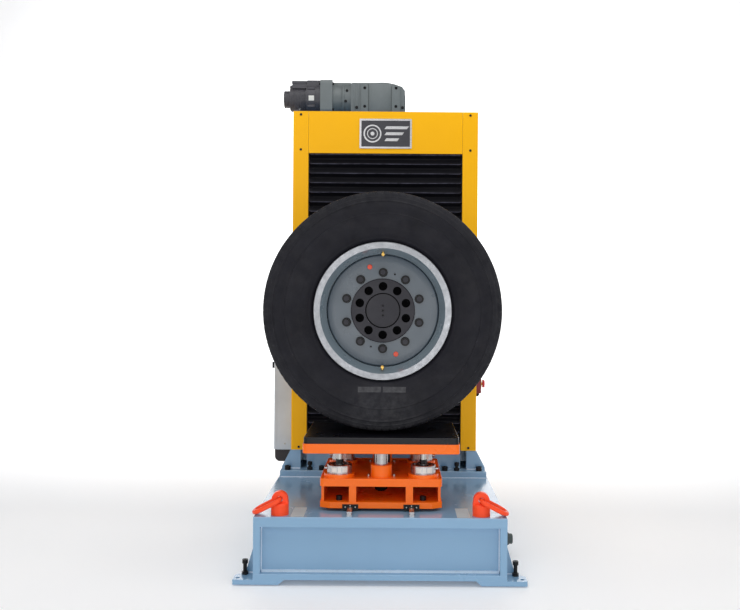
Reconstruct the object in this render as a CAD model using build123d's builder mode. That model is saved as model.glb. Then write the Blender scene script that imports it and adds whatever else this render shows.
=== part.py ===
"""Static tyre test machine: a base, a tower with a lifting spindle that carries a truck wheel,
and a sliding carriage with load cells and a platen under the tyre.

X runs across the machine, Y runs from its front to its back, and Z is up.
The origin is the centre of the footprint on the floor. All sizes are in millimetres.
"""

from build123d import *
import math
import os

os.makedirs("parts", exist_ok=True)

# Base
BASE_X = 517  # half width
BASE_Y = 700  # half depth
PAD_T = 5  # floor pad thickness
FOOT_T = 20
BASE_BOTTOM = 25
BASE_TOP = 280
TOP_T = 40
BOTTOM_T = 23
SIDE_T = 28
PANEL_T = 20
PANEL_RECESS = 38
FOOT_IN = 390
FOOT_OUT = 600
FOOT_D = 108
JACK_X = 560
JACK_Y = 630
ANCHOR_X = 582
ANCHOR_Y = 676
ANCHOR_R = 9
INLET_Z = 78

# Tower
TOWER_FOOT_T = 32
TOWER_FOOT_TOP = BASE_TOP + TOWER_FOOT_T
TOWER_X = 463  # half width over the covers
TOWER_Y0 = 110
TOWER_Y1 = 610
TOWER_TOP = 2100
COVER_T = 3
COVER_BOTTOM = 406
OPENING_X = 386
OPENING_TOP = 1891
COLUMN_IN = 415
RAIL_X = 345  # centre of each lift rail
RAIL_W = 45
RAIL_Y0 = 202
RAIL_Y1 = 240
SCREW_Y = 330
SCREW_R = 25

# Lift
SADDLE_Z0 = 866
SADDLE_Z1 = 1366
SADDLE_Y0 = 130
SADDLE_Y1 = 172
AXLE_Z = 1116

# Wheel
WHEEL_Y = -387  # middle of the tyre
TYRE_R = 522
TYRE_W = 298
RIM_R = 298.5
RIM_HALF = 118
DISC_FACE = -410
NUT_PCD = 335
HUB_R = 140.5
HUB_PCD = 213
HUB_SEAT = -386  # under the hub screws' heads

# Platen and carriage
PLATEN_Y = WHEEL_Y
PLATEN_TOP = 590
PLATE_JOINT = 564  # orange plate top, black plate underside
SUBPLATE_Z = 524
CARR_X = 256
CARR_Y0 = -600
CARR_Y1 = -140
CARR_Z0 = 293
CARR_TOP = 416
CELL_X = 178
CELL_FRONT_Y = -532
CELL_REAR_Y = -242
CELL_R = 52.5
POST_R = 28
POST_FRONT_Y = -541
POST_REAR_Y = -233
POST_END = 368
BASE_RAIL_X = 128
TRAV_Z = 180
TRAV_R = 16

# Top drive, cabinet and small fittings
DRIVE_Z = 2205
GEAR_X0 = -183
GEAR_SCREWS = [(x, z) for x in (-111, 50) for z in (2154, 2249)]
FLANGE_X = -278  # motor flange, gear side
FLANGE_T = 62
CAB_X0 = -573
CAB_X1 = -463
CAB_Y0 = 285
CAB_Y1 = 575
CAB_Z0 = 374
CAB_Z1 = 1130
HINGE_X = -566
HINGE_Y = 582
STOP_Y = 280
STOP_Z = 724

# Hoist rings
HOIST_X = 415
HOIST_Y = -650
HOIST_EYE = 343
LINK_BAR = 9.5
LINK_REACH = 117
LINK_HALF = 39.5
LINK_SLOPE = 27

# Clearances
FIT = 0.05  # running fit, on the radius
GAP = 0.3  # beside a sliding block
SEAM = 0.1  # keeps the plates of one weldment separate solids

SIDES = (-1, 1)
WHEEL_AXIS = Axis((0, 0, AXLE_Z), (0, 1, 0))
WHEEL_PLANE = Plane((0, 0, AXLE_Z), x_dir=(0, 1, 0), z_dir=(1, 0, 0))


def save(piece, label):
    """Label one finished piece and write it."""
    piece.part.label = label
    export_step(piece.part, f"parts/{label}.step")


def slab(x0, x1, y0, y1, z0, z1, mode=Mode.ADD):
    """Add or cut a box between two corners."""
    with Locations(((x0 + x1) / 2, (y0 + y1) / 2, (z0 + z1) / 2)):
        Box(abs(x1 - x0), abs(y1 - y0), abs(z1 - z0), mode=mode)


def rod(start, direction, radius, length, mode=Mode.ADD):
    """Add or cut a cylinder from its start point along a direction."""
    with BuildSketch(Plane(start, z_dir=direction)) as section:
        Circle(radius)
    extrude(section.sketch, amount=length, mode=mode)


def prism(plane, points, length, mode=Mode.ADD):
    """Add or cut a straight-sided outline drawn on a plane and pushed along its normal."""
    with BuildSketch(plane) as outline:
        with BuildLine():
            Polyline(*points, close=True)
        make_face()
    extrude(outline.sketch, amount=length, mode=mode)


def hexagon(start, direction, flats, length, mode=Mode.ADD):
    """Add a hexagonal head or nut of a given width across its flats."""
    with BuildSketch(Plane(start, z_dir=direction)) as section:
        RegularPolygon(flats / 2, 6, major_radius=False)
    extrude(section.sketch, amount=length, mode=mode)


def socket_screw(start, direction, size, length):
    """Socket head screw: start is the underside of its head, direction points out of the head."""
    head = Plane(start, z_dir=direction)
    top = head.offset(size)
    with BuildSketch(head) as section:
        Circle(0.75 * size)
    extrude(section.sketch, amount=size)
    with BuildSketch(top) as socket:
        RegularPolygon(0.4 * size, 6, major_radius=False)
    extrude(socket.sketch, amount=-0.5 * size, mode=Mode.SUBTRACT)
    if length:
        with BuildSketch(head) as section:
            Circle(0.5 * size - FIT)
        extrude(section.sketch, amount=-length)


# ---------------------------------------------------------------- base
def base_top_plate():
    with BuildPart() as piece:
        slab(-BASE_X, BASE_X, -BASE_Y, BASE_Y, BASE_TOP - TOP_T, BASE_TOP)
        chamfer(piece.edges().group_by(Axis.Z)[-1], 2)
        slab(-40, 40, -500, -240, BASE_TOP - TOP_T, BASE_TOP, Mode.SUBTRACT)
    save(piece, "base_top_plate")


def base_bottom_plate():
    with BuildPart() as piece:
        slab(-BASE_X, BASE_X, -BASE_Y, BASE_Y, BASE_BOTTOM, BASE_BOTTOM + BOTTOM_T)
        chamfer(piece.edges().group_by(Axis.Z)[-1], 1.5)
    save(piece, "base_bottom_plate")


def base_walls():
    z0 = BASE_BOTTOM + BOTTOM_T
    z1 = BASE_TOP - TOP_T
    inner = BASE_X - SIDE_T
    face = BASE_Y - PANEL_RECESS
    with BuildPart() as piece:
        for side in SIDES:
            slab(side * inner, side * BASE_X, -BASE_Y + 1, BASE_Y - 1, z0, z1)
            slab(SEAM - inner, inner - SEAM, side * face, side * (face - PANEL_T), z0, z1)
            slab(side * 118, side * 138, -face + PANEL_T + SEAM, 190 - SEAM, z0, z1)
        for y in (190, 430):
            slab(SEAM - inner, inner - SEAM, y, y + 20, z0, z1)
    save(piece, "base_walls")


def at_corner(half, side, end):
    """The front right piece carried over to one of the four corners."""
    placed = half.part
    if side < 0:
        placed = placed.mirror(Plane.YZ)
    if end > 0:
        placed = placed.mirror(Plane.XZ)
    return placed


def corner_feet():
    ramp = 24
    nose = 42
    foot_top = PAD_T + FOOT_T
    with BuildPart() as foot:
        prism(
            Plane((0, -BASE_Y, 0), x_dir=(1, 0, 0), z_dir=(0, -1, 0)),
            ((FOOT_IN + ramp, PAD_T), (FOOT_OUT, PAD_T), (FOOT_OUT, foot_top), (FOOT_IN, foot_top)),
            -FOOT_D,
        )
        prism(
            Plane.XY,
            (
                (FOOT_OUT + 1, -BASE_Y + 60),
                (FOOT_OUT + 1, -BASE_Y + FOOT_D + 1),
                (FOOT_OUT - nose, -BASE_Y + FOOT_D + 1),
            ),
            60,
            Mode.SUBTRACT,
        )
        rod((ANCHOR_X, -ANCHOR_Y, 0), (0, 0, 1), ANCHOR_R, 60, Mode.SUBTRACT)
        rod((JACK_X, -JACK_Y, 0), (0, 0, 1), 8 + FIT, 60, Mode.SUBTRACT)
    with BuildPart() as gusset:
        prism(
            Plane((0, -BASE_Y + FOOT_D - 14, 0), x_dir=(1, 0, 0), z_dir=(0, -1, 0)),
            (
                (BASE_X, foot_top + SEAM),
                (FOOT_OUT - nose, foot_top + SEAM),
                (FOOT_OUT - nose, foot_top + 12),
                (BASE_X, 176),
            ),
            -14,
        )
    with BuildPart() as piece:
        for side in SIDES:
            for end in SIDES:
                add(at_corner(foot, side, end))
                add(at_corner(gusset, side, end))
    save(piece, "corner_feet")


def levelling_screws():
    with BuildPart() as piece:
        for x in (-JACK_X, JACK_X):
            for y in (-JACK_Y, JACK_Y):
                hexagon((x, y, PAD_T + FOOT_T), (0, 0, 1), 24, 13)
                rod((x, y, PAD_T + FOOT_T), (0, 0, 1), 8, 13, Mode.SUBTRACT)
                socket_screw((x, y, 71), (0, 0, 1), 16, 71 - PAD_T)
    save(piece, "levelling_screws")


def floor_pads():
    with BuildPart() as piece:
        for x in (-1, 1):
            for y in (-1, 1):
                slab(x * 530, x * 602, y * 602, y * 658, 0, PAD_T)
        chamfer(piece.edges().filter_by(Axis.Z), 6)
    save(piece, "floor_pads")


def power_inlet():
    y = -275
    with BuildPart() as piece:
        rod((BASE_X, y, INLET_Z), (1, 0, 0), 27.5, 60)
        rod((BASE_X + 60, y, INLET_Z), (1, 0, 0), 23, 18)
        slab(BASE_X, BASE_X + 8, y - 36, y + 36, INLET_Z - 32, INLET_Z + 32)
        fillet(piece.edges().group_by(Axis.X)[-1], 6)
    save(piece, "power_inlet")


def linear_rails():
    notch = 5
    with BuildPart() as piece:
        for side in SIDES:
            x = side * BASE_RAIL_X
            slab(x - 10, x + 10, -685, 45, BASE_TOP, BASE_TOP + 20)
            for edge in SIDES:
                rod((x + edge * 10, -686, BASE_TOP + 11), (0, 1, 0), 2.5, 735, Mode.SUBTRACT)
            y_mid = (RAIL_Y0 + RAIL_Y1) / 2
            lift_x = side * RAIL_X
            slab(lift_x - RAIL_W / 2, lift_x + RAIL_W / 2, RAIL_Y0, RAIL_Y1, 345, 2050)
            for edge in SIDES:
                start = (lift_x + edge * RAIL_W / 2, y_mid, 344)
                rod(start, (0, 0, 1), notch, 1710, Mode.SUBTRACT)
    save(piece, "linear_rails")


def traverse_motor():
    with BuildPart() as piece:
        slab(-55, 55, -78, 120, TRAV_Z - 55, TRAV_Z + 55)
        chamfer(piece.edges().filter_by(Axis.Y), 10)
        slab(-45, 45, 120, 160, TRAV_Z - 45, TRAV_Z + 45)
        slab(-25, 25, 125, 155, TRAV_Z + 45, TRAV_Z + 58)
        rod((0, -79, TRAV_Z), (0, 1, 0), 10 + FIT, 45, Mode.SUBTRACT)
    save(piece, "traverse_motor")


def screw_bearings():
    """Two bearing blocks for the traverse screw and two for the lift screw."""
    with BuildPart() as piece:
        for y0 in (-600, -118):
            slab(-48, 48, y0, y0 + 38, TRAV_Z - 45, BASE_TOP - TOP_T)
            rod((0, y0 - 1, TRAV_Z), (0, 1, 0), TRAV_R + FIT, 40, Mode.SUBTRACT)
        for z0 in (TOWER_FOOT_TOP, 2000):
            slab(-90, 90, SCREW_Y - 75, SCREW_Y + 75, z0, z0 + 70)
            rod((0, SCREW_Y, z0 - 1), (0, 0, 1), SCREW_R + FIT, 72, Mode.SUBTRACT)
        chamfer(piece.edges().filter_by(Axis.Z), 4)
    save(piece, "screw_bearings")


# ---------------------------------------------------------------- tower
def tower_foot_plate():
    with BuildPart() as piece:
        slab(-510, 510, 58, 690, BASE_TOP, TOWER_FOOT_TOP)
        chamfer(piece.edges().group_by(Axis.Z)[-1], 2)
        for x in (-475, -305, 305, 475):
            for y in (84, 664):
                rod((x, y, BASE_TOP - 1), (0, 0, 1), 10, 40, Mode.SUBTRACT)
    save(piece, "tower_foot_plate")


def tower_columns():
    """Each column is a thick side plate with a machined beam behind its lift rail."""
    with BuildPart() as piece:
        for side in SIDES:
            slab(
                side * COLUMN_IN,
                side * (TOWER_X - COVER_T),
                TOWER_Y0 + COVER_T,
                TOWER_Y1 - COVER_T,
                TOWER_FOOT_TOP,
                2070,
            )
            slab(side * 290, side * (COLUMN_IN - SEAM), RAIL_Y1, RAIL_Y1 + 55, 330, 2060)
    save(piece, "tower_columns")


def tower_plates():
    """Cross plate between the legs, back plate, top plate and the four side gussets."""
    top_out = TOWER_X - COVER_T
    with BuildPart() as piece:
        slab(-OPENING_X, OPENING_X, 137, 160, TOWER_FOOT_TOP, COVER_BOTTOM)
        slab(-COLUMN_IN, COLUMN_IN, 560, 580, TOWER_FOOT_TOP, 2070 - SEAM)
        slab(-top_out, top_out, TOWER_Y0 + COVER_T, TOWER_Y1 - COVER_T, 2070, 2097)
        rod((0, SCREW_Y, 2060), (0, 0, 1), 60, 50, Mode.SUBTRACT)
        for side in SIDES:
            for y in (TOWER_Y0 + 8, TOWER_Y1 - 24):
                prism(
                    Plane((0, y, 0), x_dir=(1, 0, 0), z_dir=(0, -1, 0)),
                    (
                        (side * top_out, TOWER_FOOT_TOP),
                        (side * 508, TOWER_FOOT_TOP),
                        (side * 508, TOWER_FOOT_TOP + 10),
                        (side * (top_out + 6), COVER_BOTTOM - 3),
                        (side * top_out, COVER_BOTTOM - 3),
                    ),
                    -16,
                )
    save(piece, "tower_plates")


def side_cover(side, label):
    """Bent sheet cover: front strip, full side and a return lip along the opening."""
    with BuildPart() as piece:
        slab(side * OPENING_X, side * TOWER_X, TOWER_Y0, TOWER_Y0 + COVER_T, COVER_BOTTOM, TOWER_TOP)
        slab(
            side * (TOWER_X - COVER_T),
            side * TOWER_X,
            TOWER_Y0,
            TOWER_Y1,
            COVER_BOTTOM,
            TOWER_TOP,
        )
        slab(
            side * OPENING_X,
            side * (OPENING_X + COVER_T),
            TOWER_Y0,
            TOWER_Y0 + 22,
            COVER_BOTTOM,
            OPENING_TOP,
        )
        front = piece.edges().filter_by(Axis.Z).filter_by_position(Axis.Y, TOWER_Y0, TOWER_Y0)
        corner = front.sort_by(Axis.X)[-1 if side > 0 else 0]
        fillet(corner, 5)
    save(piece, label)


def cover_header():
    with BuildPart() as piece:
        slab(
            -OPENING_X + 1,
            OPENING_X - 1,
            TOWER_Y0,
            TOWER_Y0 + COVER_T,
            OPENING_TOP,
            TOWER_TOP,
        )
        slab(
            -OPENING_X + 1,
            OPENING_X - 1,
            TOWER_Y0,
            TOWER_Y0 + 22,
            OPENING_TOP,
            OPENING_TOP + COVER_T,
        )
    save(piece, "cover_header")


def cover_rear():
    inner = TOWER_X - COVER_T
    with BuildPart() as piece:
        slab(-inner, inner, TOWER_Y1 - COVER_T, TOWER_Y1, COVER_BOTTOM, TOWER_TOP)
        for z in (560, 1860):
            for i in range(7):
                slab(-150, 150, TOWER_Y1 - 5, TOWER_Y1 + 1, z + 26 * i, z + 26 * i + 10, Mode.SUBTRACT)
    save(piece, "cover_rear")


def nameplate():
    half_w = 130.5
    with BuildPart() as piece:
        slab(-half_w, half_w, TOWER_Y0 - 4, TOWER_Y0, 1915, 2063)
        chamfer(piece.edges().filter_by(Axis.Y), 3)
        slab(-half_w + 9, half_w - 9, TOWER_Y0 - 5, TOWER_Y0 - 3, 1924, 2054, Mode.SUBTRACT)
    save(piece, "nameplate")


def frame_screws():
    """Tower foot screws, tower jack screws, cover screws and gear unit screws."""
    with BuildPart() as piece:
        for x in (-475, -305, 305, 475):
            for y in (84, 664):
                socket_screw((x, y, TOWER_FOOT_TOP), (0, 0, 1), 20, 30)
        for x in (-365, 365):
            socket_screw((x, 84, TOWER_FOOT_TOP + 24), (0, 0, 1), 16, 0)
            hexagon((x, 84, TOWER_FOOT_TOP), (0, 0, 1), 24, 13)
            rod((x, 84, TOWER_FOOT_TOP + 13), (0, 0, 1), 8, 11)
        for side in SIDES:
            for z in (420, 1160, 1908, 2083):
                rod((side * 424, TOWER_Y0, z), (0, -1, 0), 6, 2.5)
                for y in (160, 592):
                    rod((side * TOWER_X, y, z + 14), (side, 0, 0), 6, 2.5)
        for x, z in GEAR_SCREWS:
            rod((x, 246, z), (0, 1, 0), 6, 18)
    save(piece, "frame_screws")


def bellows(label, z0, z1, pleats):
    """Pleated cover across the opening: a folded front with a flat back."""
    pitch = (z1 - z0) / pleats
    outline = [(150, z0), (118, z0)]
    for i in range(pleats):
        outline.append((118, z0 + pitch * (i + 0.08)))
        outline.append((140, z0 + pitch * (i + 0.5)))
        outline.append((118, z0 + pitch * (i + 0.92)))
    outline += [(118, z1), (150, z1)]
    plane = Plane((-384, 0, 0), x_dir=(0, 1, 0), z_dir=(1, 0, 0))
    with BuildPart() as piece:
        prism(plane, outline, 768)
    save(piece, label)


# ---------------------------------------------------------------- top drive
def gear_unit():
    """Right angle gear unit with its hollow output shaft over the lift screw."""
    top = 2278
    front = Plane((0, 250, 0), x_dir=(1, 0, 0), z_dir=(0, -1, 0))
    with BuildPart() as piece:
        prism(
            front,
            (
                (GEAR_X0, 2112),
                (88, 2112),
                (97, 2140),
                (97, 2236),
                (82, 2258),
                (42, 2272),
                (2, top),
                (GEAR_X0, top),
            ),
            -170,
        )
        fillet(piece.edges().filter_by(Axis.Y).group_by(Axis.X)[0], 10)
        slab(-129, -94, 240, 430, 2118, top - 6)
        slab(29, 71, 240, 430, 2118, 2259)
        rod((0, SCREW_Y, 2097), (0, 0, 1), 105, 20)
        rod((-20, SCREW_Y, top), (0, 0, 1), 60, 7)
        rod((0, SCREW_Y, 2090), (0, 0, 1), 20 + FIT, 190, Mode.SUBTRACT)
        for x, z in GEAR_SCREWS:
            for y, direction in ((239, (0, 1, 0)), (431, (0, -1, 0))):
                rod((x, y, z), direction, 8, 28, Mode.SUBTRACT)
    save(piece, "gear_unit")


def motor_adapter():
    neck = -232
    with BuildPart() as piece:
        rod((neck, SCREW_Y, DRIVE_Z), (1, 0, 0), 74, GEAR_X0 - neck)
        with BuildSketch(Plane((neck, SCREW_Y, DRIVE_Z), z_dir=(-1, 0, 0))) as small:
            Circle(70)
        with BuildSketch(Plane((FLANGE_X, SCREW_Y, DRIVE_Z), z_dir=(-1, 0, 0))) as large:
            Circle(79)
        loft([small.sketch.faces()[0], large.sketch.faces()[0]])
        slab(
            FLANGE_X - FLANGE_T,
            FLANGE_X,
            SCREW_Y - 100,
            SCREW_Y + 100,
            DRIVE_Z - 86,
            DRIVE_Z + 86,
        )
        fillet(piece.edges().filter_by(Axis.X), 20)
    save(piece, "motor_adapter")


def motor_body():
    end = FLANGE_X - FLANGE_T
    with BuildPart() as piece:
        rod((end, SCREW_Y, DRIVE_Z), (-1, 0, 0), 83, 23)
        rod((end - 23, SCREW_Y, DRIVE_Z), (-1, 0, 0), 78, 52)
        rod((end - 75, SCREW_Y, DRIVE_Z), (-1, 0, 0), 61, 88)
        rod((end - 163, SCREW_Y, DRIVE_Z), (-1, 0, 0), 43, 32)
        slab(end - 150, end - 72, SCREW_Y - 45, SCREW_Y + 45, DRIVE_Z + 50, 2294)
        slab(end - 72, end, SCREW_Y - 50, SCREW_Y + 50, DRIVE_Z + 50, 2296)
    save(piece, "motor_body")


# ---------------------------------------------------------------- cabinet and small fittings
def cabinet_body():
    wall = 2
    face = CAB_X0 + 13.5
    with BuildPart() as piece:
        slab(face, CAB_X1, CAB_Y0, CAB_Y1, CAB_Z0, CAB_Z1)
        slab(
            face - 1,
            CAB_X1 - wall,
            CAB_Y0 + wall,
            CAB_Y1 - wall,
            CAB_Z0 + wall,
            CAB_Z1 - wall,
            Mode.SUBTRACT,
        )
        for z in (480, 1020):
            for z0 in (z - 34, z + 26):
                slab(HINGE_X - 5, face + 14, CAB_Y1, HINGE_Y + 6, z0, z0 + 8)
            rod((HINGE_X, HINGE_Y, z - 30), (0, 0, 1), 3, 60)
    save(piece, "cabinet_body")


def cabinet_door():
    with BuildPart() as piece:
        slab(CAB_X0, CAB_X0 + 13, CAB_Y0, CAB_Y1 - 2, CAB_Z0 + 1, CAB_Z1 - 1)
        fillet(piece.edges().group_by(Axis.X)[0], 3)
        for z in (480, 1020):
            slab(CAB_X0, CAB_X0 + 13, CAB_Y1 - 6, HINGE_Y, z - 25.5, z + 25.5)
            rod((HINGE_X, HINGE_Y, z - 25.5), (0, 0, 1), 6, 51)
            rod((HINGE_X, HINGE_Y, z - 26), (0, 0, 1), 3 + FIT, 52, Mode.SUBTRACT)
        rod((CAB_X0 - 1, CAB_Y0 + 24, 812), (1, 0, 0), 8 + FIT, 15, Mode.SUBTRACT)
    save(piece, "cabinet_door")


def cabinet_latch():
    """Quarter turn latch: wing knob outside, cam arm inside."""
    y = CAB_Y0 + 24
    with BuildPart() as piece:
        rod((CAB_X0, y, 812), (-1, 0, 0), 14, 5)
        slab(CAB_X0 - 14, CAB_X0 - 5, y - 4, y + 4, 796, 828)
        rod((CAB_X0, y, 812), (1, 0, 0), 8, 22)
        slab(CAB_X0 + 18, CAB_X0 + 22, y - 17, y + 8, 805, 819)
    save(piece, "cabinet_latch")


def cabinet_lower_box():
    with BuildPart() as piece:
        slab(-568, CAB_X1, CAB_Y0 + 5, CAB_Y1 - 10, TOWER_FOOT_TOP, CAB_Z0)
        outer = piece.edges().filter_by(Axis.Y).group_by(Axis.X)[0].group_by(Axis.Z)[0]
        fillet(outer, 28)
    save(piece, "cabinet_lower_box")


def estop_box():
    with BuildPart() as piece:
        slab(TOWER_X, 500, STOP_Y - 40, STOP_Y + 40, STOP_Z - 46, STOP_Z + 46)
        fillet(piece.edges().group_by(Axis.X)[-1], 5)
        rod((500, STOP_Y, STOP_Z), (1, 0, 0), 24, 3)
        rod((476, STOP_Y, STOP_Z), (1, 0, 0), 7 + FIT, 40, Mode.SUBTRACT)
    save(piece, "estop_box")


def estop_button():
    with BuildPart() as piece:
        rod((481, STOP_Y, STOP_Z), (1, 0, 0), 7, 30)
        rod((508, STOP_Y, STOP_Z), (1, 0, 0), 20, 13)
        fillet(piece.edges().group_by(Axis.X)[-1], 4)
    save(piece, "estop_button")


# ---------------------------------------------------------------- lift
def saddle_plate():
    """Saddle with the bracket that holds the ball nut behind it."""
    with BuildPart() as piece:
        slab(-380, 380, SADDLE_Y0, SADDLE_Y1, SADDLE_Z0, SADDLE_Z1)
        chamfer(piece.edges(), 2)
        slab(-85, 85, SADDLE_Y1, SCREW_Y + 65, 930, 970)
        for side in SIDES:
            prism(
                Plane((side * 78 - 8, 0, 0), x_dir=(0, 1, 0), z_dir=(1, 0, 0)),
                ((SADDLE_Y1, 930), (SADDLE_Y1, 880), (SCREW_Y - 50, 930)),
                16,
            )
        rod((0, SADDLE_Y0 - 1, AXLE_Z), (0, 1, 0), 75, 50, Mode.SUBTRACT)
        rod((0, SCREW_Y, 925), (0, 0, 1), 45, 50, Mode.SUBTRACT)
    save(piece, "saddle_plate")


def lift_blocks():
    with BuildPart() as piece:
        for side in SIDES:
            x = side * RAIL_X
            for z0 in (886, 1206):
                slab(x - 54, x + 54, SADDLE_Y1, RAIL_Y1 - 12, z0, z0 + 140)
                slab(
                    x - RAIL_W / 2 - GAP,
                    x + RAIL_W / 2 + GAP,
                    RAIL_Y0 - GAP,
                    RAIL_Y1,
                    z0 - 1,
                    z0 + 141,
                    Mode.SUBTRACT,
                )
    save(piece, "lift_blocks")


def ball_nut():
    with BuildPart() as piece:
        rod((0, SCREW_Y, 970), (0, 0, 1), 62, 16)
        rod((0, SCREW_Y, 905), (0, 0, 1), 45 - FIT, 65)
        rod((0, SCREW_Y, 986), (0, 0, 1), 42, 60)
        rod((0, SCREW_Y, 900), (0, 0, 1), SCREW_R + FIT, 150, Mode.SUBTRACT)
    save(piece, "ball_nut")


def lift_screw():
    with BuildPart() as piece:
        rod((0, SCREW_Y, 320), (0, 0, 1), SCREW_R, 1755)
        rod((0, SCREW_Y, 2075), (0, 0, 1), 20, 195)
    save(piece, "lift_screw")


def spindle_housing():
    with BuildPart() as piece:
        rod((0, SADDLE_Y0, AXLE_Z), (0, -1, 0), 190, 25)
        rod((0, SADDLE_Y0, AXLE_Z), (0, -1, 0), 110, 430)
        chamfer(piece.edges().group_by(Axis.Y)[0], 5)
        with BuildSketch(Plane((0, 105, AXLE_Z), z_dir=(0, -1, 0))) as wide:
            Circle(150)
        with BuildSketch(Plane((0, 30, AXLE_Z), z_dir=(0, -1, 0))) as narrow:
            Circle(110)
        loft([wide.sketch.faces()[0], narrow.sketch.faces()[0]])
        rod((0, SADDLE_Y0 + 1, AXLE_Z), (0, -1, 0), 65, 432, Mode.SUBTRACT)
        with Locations(Plane((0, 105, AXLE_Z), z_dir=(0, -1, 0))):
            with PolarLocations(170, 12):
                Cylinder(9, 12, mode=Mode.SUBTRACT)
    save(piece, "spindle_housing")


def spindle_bearings():
    with BuildPart() as piece:
        for y0 in (-296, 58):
            rod((0, y0, AXLE_Z), (0, 1, 0), 65 - FIT, 40)
            rod((0, y0 - 1, AXLE_Z), (0, 1, 0), 45 + FIT, 42, Mode.SUBTRACT)
    save(piece, "spindle_bearings")


# ---------------------------------------------------------------- wheel
def ring_points(radius, count, first_deg=90):
    """Points in X and Z round the axle, the first one at the top."""
    step = 360 / count
    turns = [math.radians(first_deg + i * step) for i in range(count)]
    return [(radius * math.cos(a), AXLE_Z + radius * math.sin(a)) for a in turns]


def wheel_profile(points):
    """Revolve an outline of (Y, radius) points round the axle."""
    with BuildSketch(WHEEL_PLANE) as outline:
        with BuildLine():
            Polyline(*points, close=True)
        make_face()
    revolve(outline.sketch, axis=WHEEL_AXIS)


def spindle_shaft():
    with BuildPart() as piece:
        rod((0, -370, AXLE_Z), (0, 1, 0), 130, 30)
        rod((0, -340, AXLE_Z), (0, 1, 0), 45, 455)
        rod((0, 100, AXLE_Z), (0, 1, 0), 60, 22)
        chamfer(piece.edges().group_by(Axis.Y)[-1], 2)
        for x, z in ring_points(HUB_PCD / 2, 10):
            rod((x, -371, z), (0, 1, 0), 10, 32, Mode.SUBTRACT)
    save(piece, "spindle_shaft")


def hub_flange():
    with BuildPart() as piece:
        rod((0, -370, AXLE_Z), (0, -1, 0), 192, 26)
        rod((0, -396, AXLE_Z), (0, -1, 0), HUB_R, 26)
        chamfer(piece.edges().group_by(Axis.Y)[0], 3)
        rod((0, -423, AXLE_Z), (0, 1, 0), 77.5, 13, Mode.SUBTRACT)
        for x, z in ring_points(HUB_PCD / 2, 10):
            rod((x, -423, z), (0, 1, 0), 19, HUB_SEAT + 423, Mode.SUBTRACT)
            rod((x, -423, z), (0, 1, 0), 10, 60, Mode.SUBTRACT)
        for z in (-21, 0, 21):
            rod((0, -423, AXLE_Z + z), (0, 1, 0), 5, 30, Mode.SUBTRACT)
    save(piece, "hub_flange")


def wheel_disc():
    with BuildPart() as piece:
        wheel_profile(
            (
                (DISC_FACE, HUB_R + 0.1),
                (DISC_FACE, 214),
                (-406, 226),
                (-397, 238),
                (-386, 247),
                (-352, 247),
                (-352, 237),
                (-378, 234),
                (-391, 222),
                (-396, 208),
                (-396, HUB_R + 0.1),
            )
        )
        for x, z in ring_points(NUT_PCD / 2, 10):
            rod((x, -411, z), (0, 1, 0), 12.5, 20, Mode.SUBTRACT)
        for x, z in ring_points(NUT_PCD / 2, 2, 72):
            rod((x, -411, z), (0, 1, 0), 4.5, 20, Mode.SUBTRACT)
        for x, z in ring_points(200, 2, 107):
            rod((x, -411, z), (0, 1, 0), 7, 20, Mode.SUBTRACT)
    save(piece, "wheel_disc")


def wheel_rim():
    y = WHEEL_Y
    with BuildPart() as piece:
        wheel_profile(
            (
                (y - RIM_HALF, 269.5),
                (y - RIM_HALF, RIM_R - 3),
                (y - RIM_HALF + 3, RIM_R),
                (y - 108, RIM_R),
                (y - 106, 290),
                (y - 102, 285.5),
                (y - 60, 274.5),
                (y - 46, 257),
                (y + 46, 257),
                (y + 60, 274.5),
                (y + 102, 285.5),
                (y + 106, 290),
                (y + 108, RIM_R),
                (y + RIM_HALF - 3, RIM_R),
                (y + RIM_HALF, RIM_R - 3),
                (y + RIM_HALF, 288),
                (y + 100, 272),
                (y + 64, 262),
                (y + 46, 247),
                (y - 38, 247),
                (y - 100, 264),
            )
        )
        for side in SIDES:
            rod((0, -452, AXLE_Z + side * 230), (0, 0, side), 6, 60, Mode.SUBTRACT)
    save(piece, "wheel_rim")


def wheel_fasteners():
    """Ten wheel nuts on their studs and ten hub screws."""
    with BuildPart() as piece:
        for x, z in ring_points(NUT_PCD / 2, 10):
            rod((x, -396, z), (0, -1, 0), 11, 48)
            rod((x, DISC_FACE, z), (0, -1, 0), 20, 5)
            hexagon((x, DISC_FACE - 5, z), (0, -1, 0), 32, 24)
        for x, z in ring_points(HUB_PCD / 2, 10):
            socket_screw((x, HUB_SEAT, z), (0, -1, 0), 20, 42)
    save(piece, "wheel_fasteners")


def wheel_fittings():
    """Two valves on the barrel and two plugs in the disc."""
    with BuildPart() as piece:
        for side in SIDES:
            z = AXLE_Z + side * 244
            rod((0, -452, z), (0, 0, side), 6 - FIT, 20)
            rod((0, -448, z), (0, -1, 0), 6.5, 20)
            rod((0, -468, z), (0, -1, 0), 4.5, 20)
        for x, z in ring_points(200, 2, 107):
            rod((x, -411, z), (0, 1, 0), 7 - FIT, 14)
            rod((x, DISC_FACE, z), (0, -1, 0), 11, 7)
        edges = piece.edges().filter_by(GeomType.CIRCLE).filter_by_position(Axis.Y, -417.5, -416.5)
        fillet(edges, 2.5)
    save(piece, "wheel_fittings")


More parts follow.
